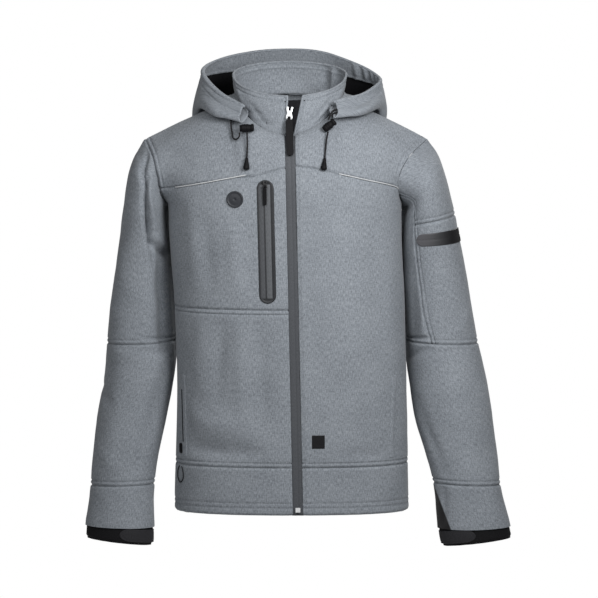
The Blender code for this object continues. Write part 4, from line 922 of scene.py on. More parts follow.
def sleeve(side, section, turn):
    """Point on a sleeve: section 0 armhole to 12 cuff, turn 0 outer, 0.5 front, 1 inner, 1.5 back."""
    section, turn = np.broadcast_arrays(np.asarray(section, float), np.asarray(turn, float))
    table = SLEEVES[side]
    w = np.abs(1 - np.mod(turn, 2))
    hole = np.where((np.mod(turn, 2) <= 1)[..., None],
                    np.stack(armhole(FRONT, w, side), axis=-1),
                    np.stack(armhole(BACK, w, side), axis=-1))
    rings = [np.stack((hole[..., 0] + side * lean(hole[..., 2]), hole[..., 1], hole[..., 2]), axis=-1)]
    outwards = (1 + np.cos(turn * math.pi)) / 2
    forwards = np.sin(turn * math.pi)
    t = np.clip(-forwards / SLEEVE_BACK_FULL, 0, 1)
    behind = t * t * (3 - 2 * t) * (1 - outwards)
    for k in range(END_SECTION):
        x = table["inner_x"][k] + (table["outer_x"][k] - table["inner_x"][k]) * outwards
        x = x - table["back_in"][k] * behind
        y = table["centre_y"][k] - table["half_depth"][k] * forwards
        z = table["inner_z"][k] + (table["outer_z"][k] - table["inner_z"][k]) * outwards
        rings.append(np.stack((x, y, z), axis=-1))
    rings = np.stack(rings)
    slopes = np.gradient(rings, axis=0)
    k = np.clip(np.floor(section), 0, END_SECTION - 1).astype(int)
    t = (section - k)[..., None]
    pick = k[None, ..., None]
    near = np.take_along_axis(rings, pick, 0)[0]
    far = np.take_along_axis(rings, pick + 1, 0)[0]
    leaving = np.take_along_axis(slopes, pick, 0)[0]
    arriving = np.take_along_axis(slopes, pick + 1, 0)[0]
    points = (1 + 2 * t) * (1 - t) ** 2 * near + t * (1 - t) ** 2 * leaving
    points = points + t * t * (3 - 2 * t) * far + t * t * (t - 1) * arriving
    return clear_of_body(side, points)


def clear_of_body(side, points):
    """Sleeve points below the underarm, kept just outside the side of the body."""
    x, y, z = (points[..., k] for k in range(3))
    wide = smooth(z, TORSO["z"], TORSO["half_width"])
    deep = np.where(y < 0, smooth(z, TORSO["z"], TORSO["front"]), smooth(z, TORSO["z"], TORSO["back"]))
    share = np.clip(1 - np.abs(y / deep) ** (2 / ROUNDNESS), 0, 1) ** (ROUNDNESS / 2)
    room = SIDE_CLEARANCE * np.clip((ARMPIT_Z - z) / SIDE_CLEARANCE_RAMP, 0, 1)
    limit = wide * share + side * lean(z) + room
    x = np.where(z < ARMPIT_Z, np.maximum(x, limit), x)
    return np.stack((side * x, y, z), axis=-1)


def sleeve_out(side, section, turn):
    """Direction out of the cloth on a sleeve."""
    onwards = sleeve(side, np.clip(section + SLEEVE_NUDGE, 0, END_SECTION), turn)
    backwards = sleeve(side, np.clip(section - SLEEVE_NUDGE, 0, END_SECTION), turn)
    around = sleeve(side, section, turn + SLEEVE_NUDGE) - sleeve(side, section, turn - SLEEVE_NUDGE)
    return unit(side * np.cross(around, onwards - backwards))


def armhole_out(side, turn):
    """Direction out of the cloth at the armhole seam, halfway between body and sleeve."""
    turn = np.asarray(turn, float)
    w = np.abs(1 - turn)
    edge = np.full_like(w, side)
    body = np.where((turn <= 1)[..., None], torso_out(FRONT, edge, 1 + w), torso_out(BACK, edge, 1 + w))
    return unit(body + sleeve_out(side, np.zeros_like(turn), turn))


def collar(turn, rise):
    """Point on the collar: turn 0 front, 1 side, 2 back, signed by side; rise 0 neckline to 1 top edge."""
    turn, rise = np.broadcast_arrays(np.asarray(turn, float), np.asarray(rise, float))
    side = np.sign(turn)
    around = np.abs(turn)
    front = torso(FRONT, side * np.clip(around, 0, 1) * NECK_ACROSS, 2.0)
    back = torso(BACK, side * np.clip(2 - around, 0, 1) * NECK_ACROSS, 2.0)
    base = np.where((around <= 1)[..., None], front, back)
    forwards = np.cos(around * QUARTER)
    sideways = side * np.sin(around * QUARTER)
    tilt = np.where(forwards > 0, COLLAR_FRONT_DROP, COLLAR_BACK_RISE)
    top_z = COLLAR_SIDE_Z - tilt * forwards
    top = np.stack((COLLAR_TOP_X * sideways + lean(top_z), -COLLAR_TOP_Y * forwards, top_z), axis=-1)
    bulge = COLLAR_BULGE * np.sin(rise * math.pi)
    swell = np.stack((bulge * sideways, -bulge * forwards, np.zeros_like(bulge)), axis=-1)
    return base + (top - base) * rise[..., None] + swell


def hood_key_points():
    """The hood's sections for both sides, in order from the right throat round the back to the left."""
    half = np.stack([np.stack([HOOD[f"{point}_{axis}"] for axis in "xyz"], axis=-1)
                     for point in HOOD_POINTS], axis=1)
    mirrored = half[:0:-1] * np.array((-1, 1, 1))
    places = np.concatenate((-HOOD["place"][:0:-1], HOOD["place"]))
    return places, np.concatenate((mirrored, half))


def hood_seam(place):
    """Neck seam of the hood: on the collar from the back to the sides, then free to the throat."""
    side = np.where(place < 0, RIGHT, LEFT)
    reach = np.abs(place)
    turn = side * (2 - reach / HOOD_SEAM_HELD)
    held = collar(turn, HOOD_SEAM_RISE)
    held[:, 0] += HOOD_SEAM_GAP * np.sin(turn * QUARTER) - lean(held[:, 2])
    held[:, 1] -= HOOD_SEAM_GAP * np.cos(turn * QUARTER)
    loose = np.clip((reach - HOOD_SEAM_HELD) / (1 - HOOD_SEAM_HELD), 0, 1)[:, None] ** 2
    tip = np.array(HOOD_SEAM_TIP) * np.stack((side, np.ones_like(side), np.ones_like(side)), axis=-1)
    return held + loose * (tip - held)


def hood(place, along):
    """Grid on the hood: place -1 right throat, 0 back, 1 left throat; along 0 neck seam to 1 rim."""
    places, points = hood_key_points()
    sections = np.concatenate((hood_seam(place)[:, None, :], smooth(place, places, points)), axis=1)
    knots = np.linspace(0, 1, len(HOOD_POINTS) + 1)
    grid = smooth(along, knots, np.moveaxis(sections, 1, 0))
    drop = HOOD_LEFT_DROP * np.sin(np.clip(place, 0, 1) * math.pi) ** 2
    grid[..., 2] -= drop[None, :] * along[:, None] ** 2
    tip = np.clip((place - HOOD_LEFT_TIP_START) / (1 - HOOD_LEFT_TIP_START), 0, 1)
    grid[..., 2] += HOOD_LEFT_TIP_RISE * tip[None, :] ** 2
    shift = (along[:, None] * np.cos(place * QUARTER)[None, :]) ** 2
    grid[..., 0] += HOOD_RIM_SHIFT * shift + lean(grid[..., 2])
    return grid


def gathers(place):
    """Height of the gathers of the hood facing, 0 to 1."""
    first, last = GATHER_PLACES
    share = np.clip((place - first) / (last - first), 0, 1)
    return np.sin(share * GATHERS * math.pi) ** 2


def noise_over(points, scale):
    """Smooth noise at points, from about -1 to 1."""
    flat = points.reshape(-1, 3) * scale
    return np.array([noise.noise(Vector(point)) for point in flat]).reshape(points.shape[:-1])


def soft_lines(u, v, table, u_scale=1.0, v_scale=1.0):
    """Sum of soft ridges and troughs along the lines of a table, each fading at its two ends."""
    total = np.zeros(u.shape)
    for u1, v1, u2, v2, width, lift in zip(*table.values()):
        du = (u2 - u1) * u_scale
        dv = (v2 - v1) * v_scale
        from_u = (u - u1) * u_scale
        from_v = (v - v1) * v_scale
        t = np.clip((from_u * du + from_v * dv) / (du * du + dv * dv), 0, 1)
        away = np.hypot(from_u - t * du, from_v - t * dv)
        total += lift * np.sqrt(4 * t * (1 - t)) * np.exp(-(away / width) ** 2)
    return total


def calm(x, z):
    """0 where a stiff piece keeps the front flat, 1 away from it."""
    free = np.ones(x.shape)
    for at_x, at_z, half_x, half_z in FLAT_PLACES:
        beside = np.clip(np.abs(x - at_x) - half_x, 0, None)
        above = np.clip(np.abs(z - at_z) - half_z, 0, None)
        away = np.hypot(beside, above)
        free *= 1 - np.exp(-(away / FLAT_REACH) ** 2)
    return free


def uneven(folds, grid):
    """Folds that rise and fall along their length, on cloth that is a little uneven itself."""
    return folds * (1 + FOLD_UNEVEN * noise_over(grid, FOLD_UNEVEN_SCALE)) + ripple(grid)


def body_folds(face, grid, across):
    """How far the cloth of the body stands out in its folds."""
    table = FRONT_FOLDS if face == FRONT else BACK_FOLDS
    fade = np.clip((1 - np.abs(across)) / SIDE_FADE, 0, 1)
    folds = uneven(soft_lines(grid[..., 0], grid[..., 2], table) * fade, grid)
    return folds * calm(grid[..., 0], grid[..., 2]) if face == FRONT else folds


def sleeve_folds(side, grid, sections, turns):
    """How far the cloth of a sleeve stands out in its folds."""
    folds = np.zeros(sections.shape)
    for lap in (-2, 0, 2):
        folds += soft_lines(sections, turns + lap, SLEEVE_FOLDS[side], SECTION_METRES, TURN_METRES)
    fade = np.clip(sections / ARMHOLE_FADE, 0, 1)
    folds = uneven(folds * fade, grid)
    return folds * (1 - pocket_calm(sections, turns)) if side == LEFT else folds


def pocket_calm(sections, turns):
    """1 under the left sleeve's pocket zip, 0 away from it."""
    over = np.clip(np.abs(sections - SLEEVE_ZIP_SECTION) - SLEEVE_ZIP_HALF, 0, None) * SECTION_METRES
    middle = sum(SLEEVE_ZIP_TURNS) / 2
    half = (SLEEVE_ZIP_TURNS[1] - SLEEVE_ZIP_TURNS[0]) / 2
    round_it = np.mod(turns - middle + 1, 2) - 1
    beside = np.clip(np.abs(round_it) - half, 0, None) * TURN_METRES
    return np.exp(-(np.hypot(over, beside) / FLAT_REACH) ** 2)


def ripple(grid):
    """Slight unevenness of hanging cloth."""
    return sum(height * noise_over(grid, scale) for scale, height in RIPPLE)


def spread(length, step):
    """Shares of a length, close together at both ends."""
    count = max(2, round((length - 2 * EDGE[-1]) / step) + 1)
    middle = np.linspace(EDGE[-1], length - EDGE[-1], count)
    return np.concatenate((EDGE[:-1], middle, (length - EDGE[:-1])[::-1])) / length


def run_along(grid, axis):
    """Distance from the first edge of a grid, along rows or columns."""
    steps = np.linalg.norm(np.diff(grid, axis=axis), axis=-1)
    start = np.zeros_like(np.take(steps, [0], axis=axis))
    return np.concatenate((start, np.cumsum(steps, axis=axis)), axis=axis)


def edge_distances(grid):
    """Distance of every point from the four edges of its panel."""
    up = run_along(grid, 0)
    over = run_along(grid, 1)
    return {"low": up, "high": up[-1:] - up, "start": over, "end": over[:, -1:] - over}


def seam_relief(grid, sewn, stitched):
    """Dip of the cloth into its seams and its rows of stitches, puckered a little."""
    far = edge_distances(grid)
    pucker = 1 + PUCKER * noise_over(grid, PUCKER_SCALE)
    dip = np.zeros(grid.shape[:2])
    for edge in sewn:
        dip -= SEAM_DIP * pucker * np.exp(-(far[edge] / SEAM_REACH) ** 2)
    for edge, distance in stitched:
        dip -= STITCH_DIP * pucker * np.exp(-((far[edge] - distance) / STITCH_REACH) ** 2)
    return dip


def mark_stitches(grid, out, stitched, thread):
    """Remember rows of stitches at given distances from the edges of a panel."""
    far = edge_distances(grid)
    for edge, distance in stitched:
        if edge in ("low", "high"):
            at = np.abs(far[edge].mean(axis=1) - distance).argmin()
            path, normal = grid[at], out[at]
        else:
            at = np.abs(far[edge].mean(axis=0) - distance).argmin()
            path, normal = grid[:, at], out[:, at]
        stitch_marks[thread].append((path, normal))


def link(name, data, finish, body="jacket"):
    """Put a new piece in the scene, on the jacket or a pull tab."""
    thing = bpy.data.objects.new(name, data)
    data.materials.append(finishes[finish])
    bpy.context.scene.collection.objects.link(thing)
    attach(thing, body)
    return thing


def smooth_mesh(name, points, faces, corner_uv=None):
    """Mesh with smooth shading and, if given, a weave map in metres for its face corners."""
    data = bpy.data.meshes.new(name)
    data.from_pydata(points, [], faces)
    data.shade_smooth()
    if corner_uv is not None:
        layer = data.uv_layers.new(name="weave")
        layer.data.foreach_set("uv", corner_uv.ravel().astype(np.float32))
    data.update()
    return data


def quads(rows, count, first=0, flip=False):
    """Faces of a grid of points."""
    r, c = np.meshgrid(np.arange(rows - 1), np.arange(count - 1), indexing="ij")
    a = first + r * count + c
    faces = np.stack((a, a + 1, a + count + 1, a + count), axis=-1).reshape(-1, 4)
    return faces[:, ::-1] if flip else faces


def rim_faces(rows, count, closed):
    """Faces that join the outer and inner grids along the open edges."""
    index = np.arange(rows * count).reshape(rows, count)
    loops = [index[0, ::-1], index[-1]]
    if not closed:
        loops += [index[:, 0], index[::-1, -1]]
    behind = rows * count
    return np.concatenate([np.stack((line[:-1], line[1:], line[1:] + behind, line[:-1] + behind), axis=-1)
                           for line in loops])


def shell(name, outer, inner, closed=False):
    """Thin wall of cloth between two grids; a closed one is sewn into a ring."""
    rows, count = outer.shape[:2]
    faces = np.concatenate((quads(rows, count), quads(rows, count, rows * count, True),
                            rim_faces(rows, count, closed)))
    middle = count // 2
    over = run_along(outer, 1)
    over = over - over[:, middle:middle + 1] + outer[:, middle:middle + 1, 0]
    uv = np.stack((over, run_along(outer, 0)), axis=-1).reshape(-1, 2)
    corner_uv = np.concatenate((uv, uv))[faces]
    if closed:
        ring = count - 1
        layer, place = np.divmod(faces, rows * count)
        row, column = np.divmod(place, count)
        faces = (layer * rows + row) * ring + column % ring
        outer, inner = outer[:, :-1], inner[:, :-1]
    points = np.concatenate((outer.reshape(-1, 3), inner.reshape(-1, 3)))
    return smooth_mesh(name, points.tolist(), faces.tolist(), corner_uv)


def cloth(node, grid, out, folds=0.0, sewn=(), stitched=(), closed=False, thickness=CLOTH, finish="cloth",
          slot="cloth", thread="thread", held="hung"):
    """Fine cloth in place of a plain panel."""
    moved = grid + (folds + seam_relief(grid, sewn, stitched))[..., None] * out
    data = shell(f"{node}_cloth", moved, moved - thickness * out, closed)
    piece = link(f"{node}_cloth", data, finish)
    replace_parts(piece, node)
    mark_stitches(moved, out, stitched, thread)


def inset(grid, closed=False):
    """Grid drawn in by half a seam gap along its open edges."""
    grid = grid.copy()
    grid[0] += unit(grid[1] - grid[0]) * SEAM / 2
    grid[-1] += unit(grid[-2] - grid[-1]) * SEAM / 2
    if not closed:
        grid[:, 0] += unit(grid[:, 1] - grid[:, 0]) * SEAM / 2
        grid[:, -1] += unit(grid[:, -2] - grid[:, -1]) * SEAM / 2
    return grid


def front_cloth(node, side, low, high, height, stitched, step=FINE):
    """Fine front panel from the zip to the side seam, between two seams given as heights."""
    over = spread(FRONT_WIDTH, step)
    up = spread(height, step)
    first = side * (ZIP_ACROSS + (1 - ZIP_ACROSS) * over)
    heights = low(first) + (high(first) - low(first)) * up[:, None]
    zip_side = zip_edge(side, heights[:, 0])[:, None]
    across = zip_side + (side - zip_side) * over
    out = torso_out(FRONT, across, heights)
    on_armhole = heights[:, -1] >= 1
    out[on_armhole, -1] = armhole_out(side, 2 - heights[on_armhole, -1])
    grid = inset(torso(FRONT, across, heights))
    folds = body_folds(FRONT, grid, across)
    if side == RIGHT:
        grid, out, folds = grid[:, ::-1], out[:, ::-1], folds[:, ::-1]
        swap = {"start": "end", "end": "start"}
        stitched = [(swap.get(edge, edge), distance) for edge, distance in stitched]
    sewn = ("low", "high", "start", "end") if side == RIGHT else ("low", "high", "start")
    cloth(node, grid, out, folds, sewn, stitched)


def back_cloth(node, low, high, height, stitched, step=COARSE):
    """Fine back panel from side to side, between two heights."""
    up = spread(height, step)
    heights = low + (high - low) * up
    across = 1 - 2 * spread(BACK_WIDTH, step)
    across, heights = np.broadcast_arrays(across[None, :], heights[:, None])
    out = torso_out(BACK, across, heights)
    on_armhole = heights[:, 0] >= 1
    out[on_armhole, 0] = armhole_out(LEFT, heights[on_armhole, 0])
    out[on_armhole, -1] = armhole_out(RIGHT, heights[on_armhole, 0])
    grid = inset(torso(BACK, across, heights))
    cloth(node, grid, out, body_folds(BACK, grid, across), ("low", "high", "start", "end"), stitched)


def body_cloth():
    """Every panel of the body."""
    def fixed(z):
        return lambda across: np.full(across.shape, float(low_height(z)))

    def top(across):
        return np.full(across.shape, 2.0)

    edge = ("start", STITCH_IN)
    hem = (edge, ("low", HEM_STITCHES[0]), ("low", HEM_STITCHES[1]))
    for side, word in ((RIGHT, "right"), (LEFT, "left")):
        front_cloth(f"hem_band_{word}", side, fixed(HEM_Z), fixed(HEM_SEAM_Z), HEM_BAND_HEIGHT, hem,
                    BAND_FINE)
        front_cloth(f"front_yoke_{word}", side, yoke_height, top, YOKE_HEIGHT, (edge, ("end", LAP)))
    front_cloth("front_lower_right", RIGHT, fixed(HEM_SEAM_Z), fixed(CHEST_SEAM_Z), LOWER_FRONT_HEIGHT,
                (edge, ("low", LAP), ("high", LAP)))
    front_cloth("front_chest_right", RIGHT, fixed(CHEST_SEAM_Z), yoke_height, CHEST_HEIGHT, (edge,))
    front_cloth("front_panel_left", LEFT, fixed(HEM_SEAM_Z), yoke_height, LEFT_FRONT_HEIGHT,
                (edge, ("low", LAP)))
    hem_seam = float(low_height(HEM_SEAM_Z))
    back_cloth("hem_band_back", 0.0, hem_seam, HEM_BAND_HEIGHT, hem[1:])
    back_cloth("back_panel", hem_seam, 2.0, BACK_HEIGHT, (("low", LAP),))


def armhole_steps():
    """Places along the armhole that body and sleeve share, from underarm to shoulder."""
    seam = yoke_height(np.ones(1))[0] - 1
    below = np.linspace(0, 1, YOKE_STEPS + 1)
    above = np.linspace(0, 1, SHOULDER_STEPS + 1)[1:]
    return np.concatenate((seam * below, seam + (1 - seam) * above))


def sleeve_turns():
    """Places round the sleeve, matching the armhole steps."""
    steps = armhole_steps()
    return np.concatenate(((1 - steps)[::-1], (1 + steps)[1:-1]))


def sleeve_cloth(node, side, sections, turns, stitched, sewn=("low", "high"), closed=True, over=0.0, **look):
    """Fine piece of a sleeve, from grids of sections and turns."""
    sections, turns = np.broadcast_arrays(sections, turns)
    grid = inset(sleeve(side, sections, turns), closed)
    out = sleeve_out(side, sections, turns)
    if sections[0, 0] == 0:
        out[0] = armhole_out(side, np.mod(turns[0], 2))
        grid[0] += unit(grid[1] - grid[0]) * ARMHOLE_GAP
    folds = sleeve_folds(side, grid, sections, turns)
    folds = folds + over * np.clip((sections - CUFF_SECTION) / OVER_CUFF_RAMP + 1, 0, 1)
    if side == RIGHT:
        grid, out, folds = grid[:, ::-1], out[:, ::-1], folds[:, ::-1]
    cloth(node, grid, out, folds, sewn, stitched, closed, **look)


def sleeve_ring(node, side, first, last, length, stitched, step=FINE, **look):
    """Whole ring of sleeve between two sections, closed on the side towards the body."""
    sections = first + (last - first) * spread(length, step)
    count = round(SLEEVE_GIRTH / step) + 1
    sleeve_cloth(node, side, sections[:, None], np.linspace(1, 3, count)[None, :], stitched, **look)


def lower_sleeve(node, side):
    """Lower sleeve, whose hem laps over the top of the cuff, most of all outwards."""
    turns = np.linspace(1, 3, round(SLEEVE_GIRTH / FINE) + 1)[None, :]
    middle, swing = OVER_CUFF[side]
    last = CUFF_SECTION + middle + swing * np.cos(turns * math.pi)
    sections = LOWER_SECTION + (last - LOWER_SECTION) * spread(LOWER_SLEEVE_LENGTH, FINE)[:, None]
    sleeve_cloth(node, side, sections, turns, (), sewn=("low",), over=OVER_CUFF_LIFT,
                 finish="cloth to cuff" if side == LEFT else "cloth")


def left_upper_sleeve():
    """Left upper sleeve: cap and pocket panel outside, under panel towards the body."""
    steps = sleeve_turns()
    front = steps[FRONT_SEAM_STEP]
    back = steps[BACK_SEAM_STEP]
    cap = CAP_SECTION * spread(CAP_LENGTH, FINE)
    pocket = CAP_SECTION + (ELBOW_SECTION - CAP_SECTION) * spread(POCKET_PANEL_LENGTH, FINE)

    def seam(sections):
        return front + (FRONT_SEAM_ELBOW - front) * sections / ELBOW_SECTION

    over = spread(OUTER_PANEL_WIDTH, FINE)
    edges = ("low", "high", "start", "end")
    for node, sections, rows, sewn in (
            ("sleeve_cap_left", cap, (("high", LAP), ("end", LAP)), edges[1:]),
            ("sleeve_pocket_panel_left", pocket, (("high", LAP), ("end", LAP)), edges)):
        sections = sections[:, None]
        turns = back - 2 + (seam(sections) - (back - 2)) * over
        sleeve_cloth(node, LEFT, sections, turns, rows, sewn, closed=False)
    sections = np.concatenate((cap, pocket[1:]))[:, None]
    turns = seam(sections) + (back - seam(sections)) * spread(UNDER_PANEL_WIDTH, FINE)
    sleeve_cloth("sleeve_under_panel_left", LEFT, sections, turns, (("high", LAP),), edges, closed=False)


def sleeves_cloth():
    """Every piece of both sleeves."""
    lapped = (("high", LAP),)
    sleeve_ring("sleeve_upper_right", RIGHT, 0, ELBOW_SECTION, UPPER_SLEEVE_LENGTH, lapped)
    left_upper_sleeve()
    for side, word in ((RIGHT, "right"), (LEFT, "left")):
        sleeve_ring(f"sleeve_forearm_{word}", side, ELBOW_SECTION, LOWER_SECTION, FOREARM_LENGTH, lapped)
        lower_sleeve(f"sleeve_lower_{word}", side)
        sleeve_ring(f"cuff_band_{word}", side, CUFF_SECTION, END_SECTION, CUFF_LENGTH, CUFF_STITCHES,
                    BAND_FINE, finish="cuff", slot="cuff", thread="dark thread")


def collar_cloth():
    """Stand collar with its top stitching."""
    level_top = np.array((2.0,))
    left = zip_edge(LEFT, level_top)[0] / NECK_ACROSS
    right = -zip_edge(RIGHT, level_top)[0] / NECK_ACROSS
    half = spread(COLLAR_HALF_LENGTH, COLLAR_STEP)
    rises = spread(COLLAR_HEIGHT, COLLAR_RISE_STEP)[:, None]
    rises[0] = COLLAR_INSIDE
    open_left = left + COLLAR_LEFT_OPEN * rises
    right_side = np.tile(-(2 - (2 - right) * half)[1:], (len(rises), 1))
    turns = np.concatenate((open_left + (2 - open_left) * half, right_side), axis=1)
    grid = collar(turns, rises)
    out = grid_out(grid)
    folds = soft_lines(turns, rises, COLLAR_FOLDS, v_scale=COLLAR_RISE) + COLLAR_RIPPLE * ripple(grid)
    cloth("collar", inset(grid), out, folds, ("start", "end"),
          (("high", COLLAR_STITCH), ("start", STITCH_IN), ("end", STITCH_IN)), thickness=COLLAR_THICKNESS)
    moved = grid + folds[..., None] * out
    edge = np.concatenate((moved[:, 0], moved[-1, 1:-1], moved[::-1, -1]))
    edge_out = np.concatenate((out[:, 0], out[-1, 1:-1], out[::-1, -1]))
    tube("collar_edge_roll", edge - COLLAR_THICKNESS / 2 * edge_out, COLLAR_ROLL, "cloth")


def hood_cloth():
    """Hood with its gathered facing, black lining and rolled edge."""
    first, last = GATHER_PLACES
    ends = (-1, first, last, 1)
    parts = [np.linspace(*ends[k:k + 2], count) for k, count in enumerate(HOOD_PLACES)]
    places = np.concatenate((parts[0], parts[1][1:], parts[2][1:]))
    lining_rows = FACING_START * spread(HOOD_DEPTH, FINE)
    facing_rows = FACING_START + (1 - FACING_START) * np.linspace(0, 1, FACING_ROWS)
    along = np.concatenate((lining_rows, facing_rows[1:]))
    grid = hood(places, along)
    out = -grid_out(grid)
    flip = np.s_[:, ::-1]
    folds = hood_folds(grid, out)
    cloth("hood_outer", grid[flip], out[flip], folds[flip], ("low",), (("high", HOOD_HEM),), held="gathered")
    split = len(lining_rows) - 1
    inside = grid + (folds - CLOTH - HOOD_LAYER_GAP)[..., None] * out
    shares = np.interp(facing_rows, np.linspace(FACING_START, 1, len(GATHER_SHARES)), GATHER_SHARES)
    varied = 1 + FACING_UNEVEN * noise_over(inside[split:], FACING_UNEVEN_SCALE)
    waves = -GATHER_LOOK * GATHER_DEPTH * shares[:, None] * gathers(places)[None, :] * varied
    facing = np.s_[:, len(places) - FACING_SHORT:FACING_SHORT:-1]
    cloth("hood_facing", inside[split:][facing], out[split:][facing], waves[facing], ("low",),
          thickness=THIN_CLOTH, held="gathered")
    start = np.abs(along - FACING_START * LINING_FIRST).argmin()
    rows = np.arange(split, start, -LINING_ROW_STEP)[::-1]
    lining = np.ix_(rows, np.arange(len(places) - LINING_SHORT, LINING_SHORT, -LINING_PLACE_STEP))
    cloth("hood_lining", inside[lining], out[lining], thickness=THIN_CLOTH, finish="lining", slot="lining")
    rim = grid[-1] + (folds[-1] - CLOTH - HOOD_LAYER_GAP / 2)[:, None] * out[-1]
    radius = np.interp(places, HOOD_ROLLS["place"], HOOD_ROLLS["radius"])
    tube("hood_edge_roll", rim, radius, "cloth")


def hood_folds(grid, out):
    """Folds in the parts of the hood that face the front."""
    facing_front = np.clip(-2 * out[..., 1], 0, 1)
    return uneven(soft_lines(grid[..., 0], grid[..., 2], HOOD_FOLDS) * facing_front, grid)


def tube(name, path, radius, finish):
    """Round edge along a path, closed and rounded at its ends, with a weave map."""
    way = unit(np.gradient(path, axis=0))
    radius = np.broadcast_to(radius, len(path))
    beyond = np.sin(TUBE_END)[:, None]
    first = path[0] - radius[0] * beyond * way[0]
    last = path[-1] + radius[-1] * beyond[::-1] * way[-1]
    path = np.concatenate((first, path, last))
    extra = len(TUBE_END)
    way = np.concatenate((np.repeat(way[:1], extra, axis=0), way, np.repeat(way[-1:], extra, axis=0)))
    ends = np.maximum(np.cos(TUBE_END), TUBE_END_LEAST)
    radius = np.concatenate((radius[0] * ends, radius, radius[-1] * ends[::-1]))
    side = unit(np.cross(way, TUBE_ASIDE))
    up = np.cross(way, side)
    angle = np.linspace(0, 2 * math.pi, TUBE_SIDES + 1)
    ring = side[:, None] * np.cos(angle)[None, :, None] + up[:, None] * np.sin(angle)[None, :, None]
    grid = path[:, None] + radius[:, None, None] * ring
    run = run_along(path[:, None], 0)
    uv = np.stack(np.broadcast_arrays(angle[None, :] * radius[:, None], run), axis=-1).reshape(-1, 2)
    faces = quads(len(path), TUBE_SIDES + 1)
    data = smooth_mesh(name, grid.reshape(-1, 3).tolist(), faces.tolist(), uv[faces])
    return link(name, data, finish)


def stitching():
    """All rows of stitches, each stitch a short spindle lying in the cloth."""
    for thread, rows in stitch_marks.items():
        points = []
        faces = []
        for path, normal in rows:
            run = run_along(path[:, None], 0)[:, 0]
            starts = np.arange(STITCH_STEP / 2, run[-1] - STITCH_LENGTH, STITCH_STEP)
            for start in starts:
                ends = [np.array([np.interp(at, run, path[:, k]) for k in range(3)])
                        for at in (start, start + STITCH_LENGTH)]
                up = unit(np.array([np.interp(start, run, normal[:, k]) for k in range(3)]))
                way = unit(ends[1] - ends[0])
                side = np.cross(way, up) * STITCH_THICK / 2
                lift = up * STITCH_THICK / 2
                middle = (ends[0] + ends[1]) / 2
                first = len(points)
                points += [ends[0], ends[1], middle + side, middle + lift, middle - side, middle - lift]
                for a, b in ((2, 3), (3, 4), (4, 5), (5, 2)):
                    faces += [(first, first + a, first + b), (first + 1, first + b, first + a)]
        name = "stitching" if thread == "thread" else "stitching_dark"
        link(name, smooth_mesh(name, points, faces), thread)


def main_zip():
    """Coated zip tape behind the front edges, in two halves that meet in a groove."""
    low_rows = np.linspace(0, 1, TAPE_ROWS["low"])
    body_rows = np.concatenate((low_rows, np.linspace(1, 2, TAPE_ROWS["high"])[1:]))
    half = ZIP_WIDTH / 2 + TAPE_BEHIND
    sides = np.stack([zip_edge(side, body_rows, half) for side in (RIGHT, LEFT)], axis=1)
    across = sides.mean(axis=1, keepdims=True) + (sides[:, 1:] - sides[:, :1]) / 2 * TAPE_ACROSS["share"]
    body = torso(FRONT, across, np.broadcast_to(body_rows[:, None], across.shape))
    neck_turns = across[-1] / NECK_ACROSS
    base = collar(neck_turns, 0.0)[TAPE_MIDDLE, 2]
    top = collar(neck_turns, 1.0)[TAPE_MIDDLE, 2]
    rises = (ZIP_CLOSED_Z - base) / (top - base) * np.linspace(0, 1, TAPE_ROWS["collar"])[1:]
    grid = np.concatenate((body, collar(neck_turns[None, :], rises[:, None])))
    out = grid_out(grid)
    crown = TAPE_CROWN * TAPE_ACROSS["crown"]
    outer = grid + (crown[None, :, None] - TAPE_DEPTH) * out
    data = shell("zip_tape_coated", outer, outer - THIN_CLOTH * out)
    piece = link("zip_tape_coated", data, "zip tape")
    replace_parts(piece, "zip_tape")


def on_front(x, z):
    """Points of the dressed front seen at x, z, and the direction out there."""
    across, height = front_place(x, z)
    point, out = front_frame(x, z)
    return point + body_folds(FRONT, point, across)[..., None] * out, out


def on_sleeve(side, sections, turns):
    """Points of the dressed sleeve, and the direction out there."""
    point = sleeve(side, sections, turns)
    out = sleeve_out(side, sections, turns)
    return point + sleeve_folds(side, point, sections, turns)[..., None] * out, out


def relief_piece(name, point, out, height, finish, closed=False):
    """Piece that lies on cloth, its outer side at a height for each point."""
    outer = point + (height + RELIEF_LEAST)[..., None] * out
    return link(name, shell(name, outer, point + RELIEF_BASE * out, closed), finish)


def stadium(start, end, half_width):
    """Grid of x and z over a strip with round ends, and how far each point is inside and sideways."""
    start = np.array(start)
    end = np.array(end)
    length = np.linalg.norm(end - start)
    way = (end - start) / length
    bend = half_width * (1 - np.cos(STRIP_END))
    middle = np.linspace(half_width, length - half_width, round(length / FINE) + 2)
    steps = np.concatenate((bend, middle[1:-1], (length - bend)[::-1]))
    past = np.clip(half_width - np.minimum(steps, length - steps), 0, None)
    halves = np.sqrt(half_width ** 2 - past ** 2)
    sideways = halves[:, None] * np.sin(np.linspace(1, -1, STRIP_COUNT) * QUARTER)
    x = start[0] + steps[:, None] * way[0] - sideways * way[1]
    z = start[1] + steps[:, None] * way[1] + sideways * way[0]
    return x, z, half_width - np.hypot(past[:, None], sideways), sideways


def rise_in(inside, edge):
    """Rounded edge: 0 at the outline, 1 from a given distance inside it."""
    t = np.clip(inside / edge, 0, 1)
    return np.sqrt(1 - (1 - t) ** 2)


